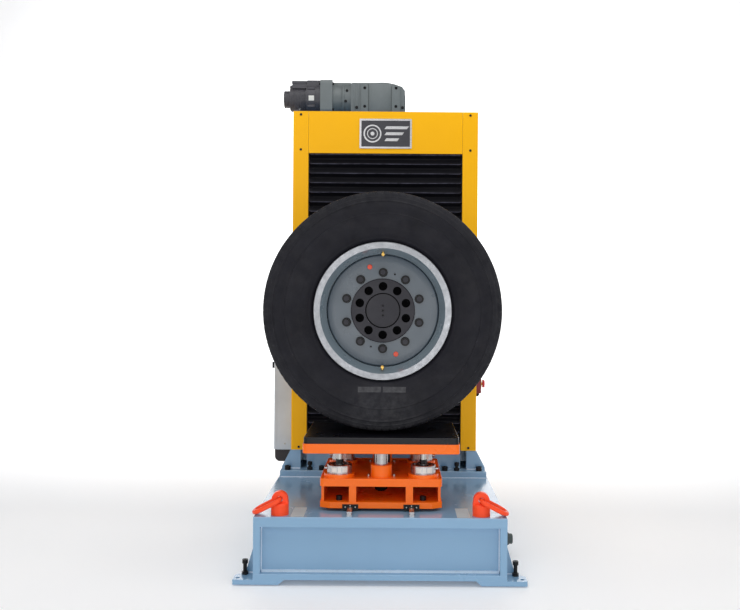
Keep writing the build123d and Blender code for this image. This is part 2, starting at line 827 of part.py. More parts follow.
def tyre():
    """Hollow truck tyre with four straight tread grooves."""
    y = WHEEL_Y
    half = TYRE_W / 2
    with BuildPart() as piece:
        with BuildSketch(WHEEL_PLANE) as outline:
            with BuildLine():
                for side in SIDES:
                    Polyline(
                        (y + side * 62, 276),
                        (y + side * 101, 286.2),
                        (y + side * 105, 291),
                        (y + side * 107, 299.5),
                        (y + side * 110, 302),
                    )
                    Spline(
                        (y + side * 110, 302),
                        (y + side * 132, 330),
                        (y + side * half, 400),
                        (y + side * 144, 460),
                        (y + side * 134, 503),
                    )
                    Line((y + side * 134, 503), (y + side * 126, 512))
                    Spline(
                        (y + side * 62, 276),
                        (y + side * 74, 300),
                        (y + side * 112, 340),
                        (y + side * 128, 400),
                        (y + side * 120, 460),
                        (y + side * 96, 488),
                    )
                ThreePointArc((y - 126, 512), (y, TYRE_R), (y + 126, 512))
                Line((y - 96, 488), (y + 96, 488))
            make_face()
        revolve(outline.sketch, axis=WHEEL_AXIS)
        for offset in (-78, -27, 27, 78):
            with BuildSketch(WHEEL_PLANE) as groove:
                with Locations((y + offset, TYRE_R)):
                    Rectangle(12, 34)
            revolve(groove.sketch, axis=WHEEL_AXIS, mode=Mode.SUBTRACT)
    save(piece, "tyre")


# ---------------------------------------------------------------- carriage and platen
def carriage_bottom_plate():
    corner = 42
    with BuildPart() as piece:
        prism(
            Plane.XY.offset(CARR_Z0),
            (
                (-CARR_X + corner, CARR_Y0),
                (CARR_X - corner, CARR_Y0),
                (CARR_X, CARR_Y0 + corner / 2),
                (CARR_X, CARR_Y1),
                (-CARR_X, CARR_Y1),
                (-CARR_X, CARR_Y0 + corner / 2),
            ),
            25,
        )
        for side in SIDES:
            x = side * BASE_RAIL_X
            slab(x - 34, x + 34, CARR_Y0 - 1, CARR_Y1 + 1, CARR_Z0 - 1, 310, Mode.SUBTRACT)
            for y in (CARR_Y0 + 45, CARR_Y1 - 45):
                rod((side * 177, y, CARR_Z0 - 1), (0, 0, 1), 9, 27, Mode.SUBTRACT)
    save(piece, "carriage_bottom_plate")


def carriage_ribs():
    """Two thick ribs, two side plates and the back wall between the carriage plates."""
    z0 = CARR_Z0 + 25
    z1 = CARR_TOP - 32
    back = CARR_Y1 - 24
    with BuildPart() as piece:
        for side in SIDES:
            slab(side * 104, side * 134, CARR_Y0 + 2, back - SEAM, z0, z1)
            slab(side * 240, side * 251, CARR_Y0 + 24, back - SEAM, z0, z1)
        slab(-251, 251, back, back + 16, z0, z1)
    save(piece, "carriage_ribs")


def carriage_top_plate():
    with BuildPart() as piece:
        slab(-CARR_X, CARR_X, CARR_Y0, CARR_Y1, CARR_TOP - 32, CARR_TOP)
        fillet(piece.edges().filter_by(Axis.Z), 18)
        chamfer(piece.edges().group_by(Axis.Z)[-1], 2)
        for x in (-CELL_X, CELL_X):
            for y in (CELL_FRONT_Y, CELL_REAR_Y):
                rod((x, y, CARR_TOP), (0, 0, 1), 65, 14)
        for y in (POST_FRONT_Y, POST_REAR_Y):
            rod((0, y, CARR_TOP - 40), (0, 0, 1), POST_R + FIT, 50, Mode.SUBTRACT)
    save(piece, "carriage_top_plate")


def carriage_blocks():
    with BuildPart() as piece:
        for side in SIDES:
            x = side * BASE_RAIL_X
            for y0 in (CARR_Y0 + 2, CARR_Y1 - 122):
                slab(x - 32.5, x + 32.5, y0, y0 + 120, BASE_TOP + 3, 310)
                slab(
                    x - 10 - GAP,
                    x + 10 + GAP,
                    y0 - 1,
                    y0 + 121,
                    BASE_TOP,
                    BASE_TOP + 20 + GAP,
                    Mode.SUBTRACT,
                )
        chamfer(piece.edges().group_by(Axis.Z)[-1].filter_by(Axis.Y), 3)
    save(piece, "carriage_blocks")


def carriage_screws():
    """Socket screws of the bottom plate, the sleeves and the platen."""
    with BuildPart() as piece:
        for side in SIDES:
            for y in (CARR_Y0 + 45, CARR_Y1 - 45):
                socket_screw((side * 177, y, CARR_Z0 + 25), (0, 0, 1), 18, 22)
            for y in (POST_FRONT_Y, POST_REAR_Y):
                socket_screw((side * 54, y, CARR_TOP), (0, 0, 1), 8, 0)
            for y in (PLATEN_Y - 205, PLATEN_Y, PLATEN_Y + 205):
                rod((side * 300, y, PLATEN_TOP - 12), (0, 0, 1), 9 - FIT, 11)
        for y in (PLATEN_Y - 205, PLATEN_Y + 205):
            rod((0, y, PLATEN_TOP - 12), (0, 0, 1), 9 - FIT, 11)
    save(piece, "carriage_screws")


def post_sleeve():
    with BuildPart() as piece:
        for y in (POST_FRONT_Y, POST_REAR_Y):
            rod((0, y, CARR_TOP), (0, 0, 1), 45, 52)
        chamfer(piece.edges().group_by(Axis.Z)[-1], 2)
        for y in (POST_FRONT_Y, POST_REAR_Y):
            rod((0, y, CARR_TOP - 1), (0, 0, 1), POST_R + FIT, 54, Mode.SUBTRACT)
    save(piece, "post_sleeve")


def platen_post():
    with BuildPart() as piece:
        for y in (POST_FRONT_Y, POST_REAR_Y):
            rod((0, y, POST_END), (0, 0, 1), POST_R, SUBPLATE_Z - POST_END)
        chamfer(piece.edges().group_by(Axis.Z)[0], 9)
    save(piece, "platen_post")


def load_cells():
    """Four pancake load cells, each a thick ring with a raised hub."""
    with BuildPart() as piece:
        for x in (-CELL_X, CELL_X):
            for y in (CELL_FRONT_Y, CELL_REAR_Y):
                rod((x, y, CARR_TOP + 14), (0, 0, 1), CELL_R, 36)
        chamfer(piece.edges().group_by(Axis.Z)[-1], 2)
        for x in (-CELL_X, CELL_X):
            for y in (CELL_FRONT_Y, CELL_REAR_Y):
                rod((x, y, CARR_TOP + 46), (0, 0, 1), 38, 5, Mode.SUBTRACT)
                rod((x, y, CARR_TOP + 46), (0, 0, 1), 20, 6)
    save(piece, "load_cells")


def platen_supports():
    """Studs, adaptors and flanges over the load cells, and the centre column."""
    with BuildPart() as piece:
        for x in (-CELL_X, CELL_X):
            for y in (CELL_FRONT_Y, CELL_REAR_Y):
                hexagon((x, y, CARR_TOP + 52), (0, 0, 1), 28, 18)
                rod((x, y, CARR_TOP + 70), (0, 0, 1), 12, 30)
                rod((x, y, CARR_TOP + 100), (0, 0, 1), 28, 8)
        rod((0, PLATEN_Y, CARR_TOP), (0, 0, 1), 36, 84 - SEAM)
        rod((0, PLATEN_Y, CARR_TOP + 84), (0, 0, 1), 110, 24)
    save(piece, "platen_supports")


def platen_subplate():
    with BuildPart() as piece:
        slab(-328, 328, PLATEN_Y - 233, PLATEN_Y + 233, SUBPLATE_Z, PLATE_JOINT)
        fillet(piece.edges().filter_by(Axis.Z), 18)
        chamfer(piece.edges().group_by(Axis.Z)[0], 2)
    save(piece, "platen_subplate")


def platen_top():
    with BuildPart() as piece:
        slab(-324, 324, PLATEN_Y - 229, PLATEN_Y + 229, PLATE_JOINT, PLATEN_TOP)
        fillet(piece.edges().filter_by(Axis.Z), 16)
        chamfer(piece.edges().group_by(Axis.Z)[-1], 1.5)
        for x, y in (
            *((side * 300, PLATEN_Y + row) for side in SIDES for row in (-205, 0, 205)),
            (0, PLATEN_Y - 205),
            (0, PLATEN_Y + 205),
        ):
            rod((x, y, PLATEN_TOP - 12), (0, 0, 1), 9, 20, Mode.SUBTRACT)
    save(piece, "platen_top")


def traverse_nut():
    """Nut bracket that reaches down through the slot to the traverse screw."""
    with BuildPart() as piece:
        slab(-34, 34, -400, -340, TRAV_Z - 34, CARR_Z0)
        fillet(piece.edges().filter_by(Axis.Y).group_by(Axis.Z)[0], 20)
        rod((0, -401, TRAV_Z), (0, 1, 0), TRAV_R + FIT, 62, Mode.SUBTRACT)
    save(piece, "traverse_nut")


def traverse_screw():
    with BuildPart() as piece:
        rod((0, -610, TRAV_Z), (0, 1, 0), TRAV_R, 530)
        rod((0, -80, TRAV_Z), (0, 1, 0), 10, 40)
    save(piece, "traverse_screw")


# ---------------------------------------------------------------- hoist rings
def hoist_body(side, label):
    """Round swivel body with a forged eye."""
    x = side * HOIST_X
    with BuildPart() as piece:
        rod((x, HOIST_Y, BASE_TOP), (0, 0, 1), 36.5, 48)
        chamfer(piece.edges().group_by(Axis.Z)[-1], 5)
        with BuildSketch(Plane((x, HOIST_Y + 13, 0), x_dir=(1, 0, 0), z_dir=(0, -1, 0))) as eye:
            with BuildLine():
                top = CenterArc((0, HOIST_EYE), 33, 0, 180)
                Polyline(top @ 1, (-36, BASE_TOP + 44), (36, BASE_TOP + 44), top @ 0)
            make_face()
        extrude(eye.sketch, amount=26)
        rod((x, HOIST_Y - 14, HOIST_EYE), (0, 1, 0), 12.5, 28, Mode.SUBTRACT)
        mouth = piece.edges().filter_by(GeomType.CIRCLE).filter_by(lambda e: abs(e.radius - 12.5) < 0.1)
        chamfer(mouth, 1.5)
    save(piece, label)


def hoist_link(side, label):
    """Oval link lying outwards on the base, its near bar in the eye."""
    slope = math.radians(LINK_SLOPE)
    along = (side * math.cos(slope), 0, -math.sin(slope))
    across = Vector(0, 1, 0)
    plane = Plane((side * HOIST_X, HOIST_Y, HOIST_EYE), x_dir=along, z_dir=Vector(*along).cross(across))
    bend = 22
    far = LINK_REACH - LINK_HALF
    with BuildPart() as piece:
        with BuildLine(plane) as path:
            l1 = Line((0, -LINK_HALF + bend), (0, LINK_HALF - bend))
            a1 = CenterArc((bend, LINK_HALF - bend), bend, 180, -90)
            l2 = Line((bend, LINK_HALF), (far, LINK_HALF))
            a2 = CenterArc((far, 0), LINK_HALF, 90, -180)
            l3 = Line((far, -LINK_HALF), (bend, -LINK_HALF))
            a3 = CenterArc((bend, -LINK_HALF + bend), bend, 270, -90)
        with BuildSketch(Plane(path.line @ 0, z_dir=path.line % 0)) as bar:
            Circle(LINK_BAR)
        sweep(bar.sketch, path=path.line)
    save(piece, label)


base_top_plate()
base_bottom_plate()
base_walls()
corner_feet()
levelling_screws()
floor_pads()
power_inlet()
linear_rails()
traverse_motor()
screw_bearings()
tower_foot_plate()
tower_columns()
tower_plates()
side_cover(-1, "cover_left")
side_cover(1, "cover_right")
cover_header()
cover_rear()
nameplate()
bellows("bellows_upper", SADDLE_Z1, OPENING_TOP, 11)
bellows("bellows_lower", COVER_BOTTOM, SADDLE_Z0, 10)
frame_screws()
gear_unit()
motor_adapter()
motor_body()
cabinet_body()
cabinet_door()
cabinet_latch()
cabinet_lower_box()
estop_box()
estop_button()
saddle_plate()
lift_blocks()
ball_nut()
lift_screw()
spindle_housing()
spindle_bearings()
spindle_shaft()
hub_flange()
wheel_disc()
wheel_rim()
wheel_fasteners()
wheel_fittings()
tyre()
carriage_bottom_plate()
carriage_ribs()
carriage_top_plate()
carriage_blocks()
carriage_screws()
post_sleeve()
platen_post()
load_cells()
platen_supports()
platen_subplate()
platen_top()
traverse_nut()
traverse_screw()
hoist_body(-1, "hoist_body_left")
hoist_body(1, "hoist_body_right")
hoist_link(-1, "hoist_link_left")
hoist_link(1, "hoist_link_right")
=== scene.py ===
"""Looks of the static tyre test machine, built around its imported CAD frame. Metres, Z up."""

import math

import bmesh
import bpy
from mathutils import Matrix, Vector, noise


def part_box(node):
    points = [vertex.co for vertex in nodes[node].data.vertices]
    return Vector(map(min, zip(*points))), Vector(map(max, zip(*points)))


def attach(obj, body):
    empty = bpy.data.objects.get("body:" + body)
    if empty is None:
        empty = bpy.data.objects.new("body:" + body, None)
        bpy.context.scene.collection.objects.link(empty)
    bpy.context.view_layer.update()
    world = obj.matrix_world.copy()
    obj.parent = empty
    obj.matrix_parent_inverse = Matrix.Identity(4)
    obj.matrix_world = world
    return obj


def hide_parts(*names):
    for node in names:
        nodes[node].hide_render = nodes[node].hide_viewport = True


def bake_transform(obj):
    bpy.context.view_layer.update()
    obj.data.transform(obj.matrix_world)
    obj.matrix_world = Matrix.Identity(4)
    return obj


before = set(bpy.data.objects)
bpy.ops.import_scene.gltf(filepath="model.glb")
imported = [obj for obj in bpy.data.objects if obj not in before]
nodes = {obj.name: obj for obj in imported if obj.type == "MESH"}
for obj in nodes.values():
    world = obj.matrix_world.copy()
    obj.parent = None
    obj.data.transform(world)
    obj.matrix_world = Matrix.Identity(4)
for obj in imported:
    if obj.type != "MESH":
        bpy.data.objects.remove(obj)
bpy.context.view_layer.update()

MM = 0.001
SIDES = (-1, 1)


def srgb(red, green, blue):
    """Linear colour from 0 to 255 display values."""
    linear = []
    for value in (red, green, blue):
        v = value / 255
        linear.append(v / 12.92 if v <= 0.04045 else ((v + 0.055) / 1.055) ** 2.4)
    return (*linear, 1.0)


def scaled(colour, factor):
    return (*(min(1.0, c * factor) for c in colour[:3]), 1.0)


# ---------------------------------------------------------------- material building blocks
class Tree:
    """A material's node tree with short calls for the nodes used here."""

    def __init__(self, name):
        self.material = bpy.data.materials.new(name)
        self.material.use_nodes = True
        self.nodes = self.material.node_tree.nodes
        self.links = self.material.node_tree.links
        self.shader = self.nodes["Principled BSDF"]
        self.place = self.nodes.new("ShaderNodeTexCoord").outputs["Object"]

    def link(self, source, target):
        self.links.new(source, target)

    def stretch(self, x, y, z):
        node = self.nodes.new("ShaderNodeMapping")
        node.inputs["Scale"].default_value = (x, y, z)
        self.link(self.place, node.inputs["Vector"])
        return node.outputs["Vector"]

    def noise(self, scale, detail=4.0, rough=0.55, where=None, distort=0.0):
        node = self.nodes.new("ShaderNodeTexNoise")
        node.inputs["Scale"].default_value = scale
        node.inputs["Detail"].default_value = detail
        node.inputs["Roughness"].default_value = rough
        node.inputs["Distortion"].default_value = distort
        self.link(where or self.place, node.inputs["Vector"])
        return node.outputs["Fac"]

    def cells(self, scale, where=None):
        node = self.nodes.new("ShaderNodeTexVoronoi")
        node.inputs["Scale"].default_value = scale
        self.link(where or self.place, node.inputs["Vector"])
        return node.outputs["Distance"]

    def spread(self, value, low, high, to_low=0.0, to_high=1.0):
        node = self.nodes.new("ShaderNodeMapRange")
        node.clamp = True
        for name, number in (
            ("From Min", low),
            ("From Max", high),
            ("To Min", to_low),
            ("To Max", to_high),
        ):
            node.inputs[name].default_value = number
        self.link(value, node.inputs["Value"])
        return node.outputs["Result"]

    def maths(self, operation, a, b=0.0, clamp=False):
        node = self.nodes.new("ShaderNodeMath")
        node.operation = operation
        node.use_clamp = clamp
        for index, value in enumerate((a, b)):
            if isinstance(value, (int, float)):
                node.inputs[index].default_value = value
            else:
                self.link(value, node.inputs[index])
        return node.outputs["Value"]

    def times(self, first, second):
        return self.maths("MULTIPLY", first, second)

    def split(self, where=None):
        node = self.nodes.new("ShaderNodeSeparateXYZ")
        self.link(where or self.place, node.inputs["Vector"])
        return node.outputs["X"], node.outputs["Y"], node.outputs["Z"]

    def mix(self, share, a, b):
        node = self.nodes.new("ShaderNodeMix")
        node.data_type = "RGBA"
        for index, value in ((6, a), (7, b)):
            if isinstance(value, tuple):
                node.inputs[index].default_value = value
            else:
                self.link(value, node.inputs[index])
        self.link(share, node.inputs[0])
        return node.outputs[2]

    def edges(self, radius):
        """1 on sharp edges, falling to 0 at a distance from them."""
        rounded = self.nodes.new("ShaderNodeBevel")
        rounded.samples = 4
        rounded.inputs["Radius"].default_value = radius
        turn = self.nodes.new("ShaderNodeVectorMath")
        turn.operation = "DOT_PRODUCT"
        self.link(rounded.outputs["Normal"], turn.inputs[0])
        self.link(self.nodes.new("ShaderNodeNewGeometry").outputs["Normal"], turn.inputs[1])
        return self.spread(turn.outputs["Value"], 0.995, 0.86)

    def ridges(self, low, high):
        """1 along the outward folds of a dense mesh."""
        point = self.nodes.new("ShaderNodeNewGeometry").outputs["Pointiness"]
        return self.spread(point, low, high)

    def bump(self, heights):
        """Adds up (height, distance in metres, strength) layers."""
        normal = None
        for height, distance, strength in heights:
            node = self.nodes.new("ShaderNodeBump")
            node.inputs["Distance"].default_value = distance
            node.inputs["Strength"].default_value = strength
            self.link(height, node.inputs["Height"])
            if normal is not None:
                self.link(normal, node.inputs["Normal"])
            normal = node.outputs["Normal"]
        self.link(normal, self.shader.inputs["Normal"])

    def set(self, **values):
        for name, value in values.items():
            self.shader.inputs[name.replace("_", " ")].default_value = value


def paint(
    name, colour, rough=0.34, dirt=0.25, edge_wear_and_highlight_share=0.5, coat=0.25, peel=0.5, edge_wear_and_highlight_tone=(150, 146, 140), shine=0.5
):
    """Enamel over steel: slow colour drift, orange peel, faint smears, and lightened edges that are partly
    worn paint and partly painted highlight.
    """
    t = Tree(name)
    drift = t.spread(t.noise(1.6, 3), 0.3, 0.7)
    base = t.mix(drift, scaled(colour, 0.96), scaled(colour, 1.03))
    speck = t.spread(t.noise(85, 6, 0.6), 0.68, 0.8, 0.0, dirt * 0.5)
    grime = t.mix(speck, base, scaled(colour, 0.55))
    smear = t.spread(t.noise(2.6, 3, 0.5, t.stretch(1.0, 1.0, 0.3)), 0.5, 0.8, 0.0, dirt)
    dusty = t.mix(smear, grime, scaled(colour, 0.84))
    # Edges, concave ones too, are lightened towards a paler tone: partly paint rubbed thin, partly painted
    # edge highlight.
    edge_wear_and_highlight = t.times(t.edges(0.0025), t.spread(t.noise(60, 6, 0.7), 0.5, 0.66, 0.0, edge_wear_and_highlight_share))
    t.link(t.mix(edge_wear_and_highlight, dusty, srgb(*edge_wear_and_highlight_tone)), t.shader.inputs["Base Color"])
    t.link(t.spread(t.noise(9, 4, 0.5), 0.3, 0.75, rough - 0.05, rough + 0.07), t.shader.inputs["Roughness"])
    t.set(Coat_Weight=coat, Coat_Roughness=0.14, Specular_IOR_Level=shine)
    t.bump([(t.noise(240, 3, 0.5), 0.0003, peel), (t.noise(14, 3), 0.0008, 0.06)])
    return t.material


def metal(name, colour, rough=0.32, streak=(1, 1, 1), depth=0.4, tarnish=0.25, fine=900):
    """Bare metal with directional machining marks and a little tarnish."""
    t = Tree(name)
    line = t.noise(fine, 2, 0.5, t.stretch(*streak))
    patch = t.spread(t.noise(9, 6, 0.6), 0.42, 0.72, 0.0, tarnish)
    tone = t.mix(line, scaled(colour, 0.86), scaled(colour, 1.08))
    stained = t.mix(patch, tone, scaled(colour, 0.62))
    t.link(stained, t.shader.inputs["Base Color"])
    t.link(t.spread(line, 0.3, 0.7, rough - 0.06, rough + 0.1), t.shader.inputs["Roughness"])
    t.set(Metallic=1.0)
    t.bump([(line, 0.00012, depth)])
    return t.material


def casting(name, colour, rough=0.5, grain=0.6, coat=0.0):
    """Painted sand casting: grainy skin, soft sheen, dust in patches."""
    t = Tree(name)
    tone = t.mix(t.spread(t.noise(5, 5), 0.3, 0.7), scaled(colour, 0.88), scaled(colour, 1.1))
    spots = t.spread(t.noise(90, 6, 0.7), 0.55, 0.8, 0.0, 0.35)
    worn = t.mix(spots, tone, scaled(colour, 1.5))
    # Edges are lightened to twice the colour: partly rubbed paint, partly painted edge highlight.
    rub = t.times(t.edges(0.003), t.spread(t.noise(45, 5), 0.4, 0.65, 0.0, 0.5))
    t.link(t.mix(rub, worn, scaled(colour, 2.0)), t.shader.inputs["Base Color"])
    t.link(t.spread(t.noise(25, 6), 0.3, 0.7, rough - 0.08, rough + 0.12), t.shader.inputs["Roughness"])
    t.set(Coat_Weight=coat, Coat_Roughness=0.3)
    t.bump([(t.noise(420, 5, 0.65), 0.0005, grain), (t.noise(60, 3), 0.0008, 0.2)])
    return t.material


def plastic(name, colour, rough=0.45, texture=0.5, scale=1100):
    """Moulded plastic with a fine spark-eroded texture."""
    t = Tree(name)
    tone = t.mix(t.spread(t.noise(6, 4), 0.3, 0.7), scaled(colour, 0.92), scaled(colour, 1.08))
    film = t.spread(t.noise(30, 7, 0.7), 0.55, 0.85, 0.0, 0.25)
    t.link(t.mix(film, tone, scaled(colour, 0.8)), t.shader.inputs["Base Color"])
    t.link(t.spread(t.noise(20, 5), 0.3, 0.7, rough - 0.06, rough + 0.1), t.shader.inputs["Roughness"])
    t.bump([(t.cells(scale), 0.00025, texture)])
    return t.material


def fabric(name, colour):
    """Coated bellows cloth: tight weave under a dull rubbery film, patchy dust, and painted highlights along
    the outward pleat ridges.
    """
    t = Tree(name)
    weave_x = t.noise(1500, 1, 0.5, t.stretch(1.0, 0.08, 0.08))
    weave_z = t.noise(1500, 1, 0.5, t.stretch(0.08, 0.08, 1.0))
    weave = t.maths("ADD", weave_x, weave_z)
    dust = t.spread(t.noise(11, 7, 0.7, t.stretch(0.4, 1.0, 2.0)), 0.45, 0.8, 0.0, 0.3)
    # Outward pleat ridges are lightened to pale grey-blue: painted highlight of light from above.
    fold = t.times(t.ridges(0.51, 0.56), t.spread(t.noise(30, 4), 0.3, 0.7, 0.2, 0.8))
    tone = t.mix(dust, colour, srgb(24, 24, 32))
    t.link(t.mix(fold, tone, srgb(92, 92, 108)), t.shader.inputs["Base Color"])
    t.link(t.spread(t.noise(18, 4), 0.3, 0.7, 0.42, 0.62), t.shader.inputs["Roughness"])
    t.set(Specular_IOR_Level=0.12)
    t.bump([(weave, 0.00025, 0.5), (t.noise(35, 4), 0.001, 0.25)])
    return t.material


AXLE = Vector((0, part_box("tyre")[0].y / 2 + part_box("tyre")[1].y / 2, 1.116))


def around_axle(t):
    """Distance from the wheel's axle, and depth along it, inside a material."""
    x, y, z = t.split()
    up = t.maths("SUBTRACT", z, AXLE.z)
    radius = t.maths("SQRT", t.maths("ADD", t.times(x, x), t.times(up, up)))
    return radius, y


def tyre_rubber():
    t = Tree("tyre_rubber")
    radius, _ = around_axle(t)
    drift = t.mix(t.spread(t.noise(6, 5), 0.3, 0.7), srgb(17, 17, 24), srgb(26, 26, 34))
    ring = t.noise(70, 3, 0.6)
    bands = t.maths("SINE", t.maths("ADD", t.times(radius, 900), t.times(ring, 5)))
    bloom = t.spread(t.noise(14, 7, 0.7), 0.48, 0.8, 0.0, 0.45)
    brown = t.mix(bloom, drift, srgb(40, 38, 41))
    patches = t.spread(t.noise(24, 6), 0.35, 0.7, 0.1, 0.6)
    shoulder = t.times(t.spread(radius, 0.44, 0.505), patches)
    dusty = t.mix(shoulder, brown, srgb(48, 48, 51))
    x, _, z = t.split()
    below = t.spread(z, AXLE.z - 0.30, AXLE.z - 0.42)
    middle = t.spread(t.maths("ABSOLUTE", x), 0.20, 0.08)
    smears = t.spread(t.noise(30, 7, 0.65), 0.4, 0.75, 0.1, 0.7)
    scuff = t.times(t.times(below, middle), smears)
    scuffed = t.mix(scuff, dusty, srgb(70, 70, 73))
    bar_z = t.maths("LESS_THAN", t.maths("ABSOLUTE", t.maths("SUBTRACT", z, AXLE.z - 0.335)), 0.0115)
    from_bar = t.maths("ABSOLUTE", t.maths("SUBTRACT", t.maths("ABSOLUTE", x), 0.053))
    bar_x = t.maths("LESS_THAN", from_bar, 0.0495)
    grain = t.spread(t.noise(55, 5), 0.3, 0.7, 0.35, 0.9)
    rub = t.times(t.times(bar_z, bar_x), grain)
    t.link(t.mix(rub, scuffed, srgb(80, 80, 83)), t.shader.inputs["Base Color"])
    t.link(t.spread(t.noise(22, 6, 0.6), 0.3, 0.75, 0.46, 0.72), t.shader.inputs["Roughness"])
    t.set(Specular_IOR_Level=0.2)
    t.bump([(bands, 0.00015, 0.25), (t.noise(700, 3, 0.6), 0.0003, 0.5), (t.noise(26, 4), 0.001, 0.2)])
    return t.material


def rim_metal():
    """Bright turned front flange that changes to grey-blue paint down the barrel."""
    t = Tree("rim_turned")
    radius, _ = around_axle(t)
    rings = t.noise(2600, 1, 0.5, t.stretch(0.02, 1.0, 0.02))
    lathe = t.maths("SINE", t.maths("ADD", t.times(radius, 5200), t.times(rings, 3)))
    mottle = t.spread(t.noise(48, 7, 0.7), 0.4, 0.75, 0.0, 0.5)
    t.link(t.mix(mottle, srgb(154, 156, 160), srgb(108, 110, 116)), t.shader.inputs["Base Color"])
    t.link(t.spread(t.noise(60, 6), 0.3, 0.7, 0.26, 0.44), t.shader.inputs["Roughness"])
    t.set(Metallic=1.0)
    t.bump([(lathe, 0.00008, 0.35), (t.noise(200, 4), 0.0003, 0.3)])
    return t.material


BLUE = srgb(131, 170, 202)
YELLOW = srgb(255, 186, 0)
ORANGE = srgb(255, 112, 8)
HOIST = srgb(255, 80, 40)
BLACK = srgb(16, 16, 19)

looks = {
    "blue": paint("enamel_blue", BLUE, rough=0.22, dirt=0.14, coat=0.4, peel=0.3, edge_wear_and_highlight_tone=(186, 210, 230)),
    "yellow": paint(
        "powder_yellow", YELLOW,
        rough=0.42, dirt=0.06, edge_wear_and_highlight_share=0.2, coat=0.0, peel=0.7, shine=0.2, edge_wear_and_highlight_tone=(255, 214, 96),
    ),
    "orange": paint(
        "enamel_orange", ORANGE,
        rough=0.3, dirt=0.06, edge_wear_and_highlight_share=0.3, coat=0.05, shine=0.35, edge_wear_and_highlight_tone=(255, 176, 110),
    ),
    "hoist": paint(
        "hoist_red_orange", HOIST,
        rough=0.36, dirt=0.08, coat=0.0, shine=0.25, edge_wear_and_highlight_tone=(255, 150, 120),
    ),
    # Weld beads in a pale glossy blue: painted highlight along the base's flange corners.
    "weld": paint("enamel_blue_weld_painted_highlight", srgb(204, 224, 242), rough=0.14, dirt=0.05, coat=0.8, peel=0.2),
    # The barrel has the disc's grey-blue paint; this lighter copy is painted light falling into the barrel.
    "barrel": paint("barrel_grey_blue_painted_light", srgb(122, 136, 145), rough=0.26, dirt=0.15, coat=0.3),
    "wheel": paint("wheel_grey_blue", srgb(80, 92, 103), rough=0.3, dirt=0.15, coat=0.15),
    "black": paint(
        "black_oxide", BLACK,
        rough=0.4, dirt=0.12, edge_wear_and_highlight_share=0.2, coat=0.0, edge_wear_and_highlight_tone=(74, 74, 78), shine=0.25,
    ),
    # Near-black, used as painted shade in the hub's counterbores and centre recess, and on the post end
    # domes.
    "deep_black": paint("hole_black", srgb(5, 5, 7), rough=0.7, dirt=0.12, edge_wear_and_highlight_share=0.0, coat=0.0, shine=0.05),
    "hub": paint(
        "hub_black", srgb(38, 37, 45),
        rough=0.4, dirt=0.15, edge_wear_and_highlight_share=0.2, coat=0.0, edge_wear_and_highlight_tone=(84, 84, 90), shine=0.3,
    ),
    "platen": paint(
        "platen_black", srgb(14, 14, 20),
        rough=0.3, dirt=0.1, edge_wear_and_highlight_share=0.2, coat=0.0, peel=0.25, edge_wear_and_highlight_tone=(58, 58, 64), shine=0.3,
    ),
    "motor": paint("motor_enamel", srgb(62, 61, 68), rough=0.42, dirt=0.2, coat=0.1),
    "cabinet": plastic("cabinet_texture", srgb(190, 198, 206), rough=0.5, texture=0.6, scale=700),
    "black_box": plastic("black_moulding", srgb(42, 36, 36), rough=0.5),
    "inlet": plastic("inlet_moulding", srgb(70, 80, 78), rough=0.45),
    "maroon": plastic("maroon_moulding", srgb(118, 24, 38), rough=0.4),
    "red": plastic("mushroom_red", srgb(196, 24, 24), rough=0.28, texture=0.1),
    "steel": metal("ground_steel", srgb(176, 178, 182), rough=0.3, streak=(1, 0.05, 1)),
    "steel_up": metal("ground_steel_upright", srgb(176, 178, 182), rough=0.3, streak=(1, 1, 0.05)),
    "chrome": metal("hard_chrome", srgb(186, 184, 184), rough=0.2, depth=0.1, tarnish=0.1),
    "zinc": metal("zinc_plate", srgb(200, 200, 196), rough=0.28, depth=0.2),
    "cell": metal("cell_stainless", srgb(196, 196, 198), rough=0.26, streak=(0.2, 0.2, 3)),
    "brass": metal("valve_brass", srgb(206, 168, 92), rough=0.3, depth=0.2),
    "gear": casting("gear_casting", srgb(104, 111, 112), rough=0.46, grain=0.5, coat=0.1),
    "housing": casting("spindle_casting", srgb(100, 116, 126), rough=0.5),
    "block": casting("rail_block_black", srgb(38, 42, 42), rough=0.42, grain=0.25),
    "plug": plastic("plug_orange_red", srgb(232, 74, 42), rough=0.35, texture=0.1),
    "label": plastic("label_white", srgb(226, 226, 220), rough=0.4, texture=0.1),
    "sticker": plastic("sticker_pale", srgb(176, 190, 194), rough=0.5, texture=0.1),
    "plate_dark": metal("nameplate_dark", srgb(78, 78, 82), rough=0.4, streak=(0.03, 1, 1)),
    "plate_silver": metal("nameplate_silver", srgb(206, 206, 208), rough=0.3, streak=(0.03, 1, 1)),
    "tyre": tyre_rubber(),
    "rim": rim_metal(),
    "bellows": fabric("bellows_cloth", srgb(10, 10, 16)),
}


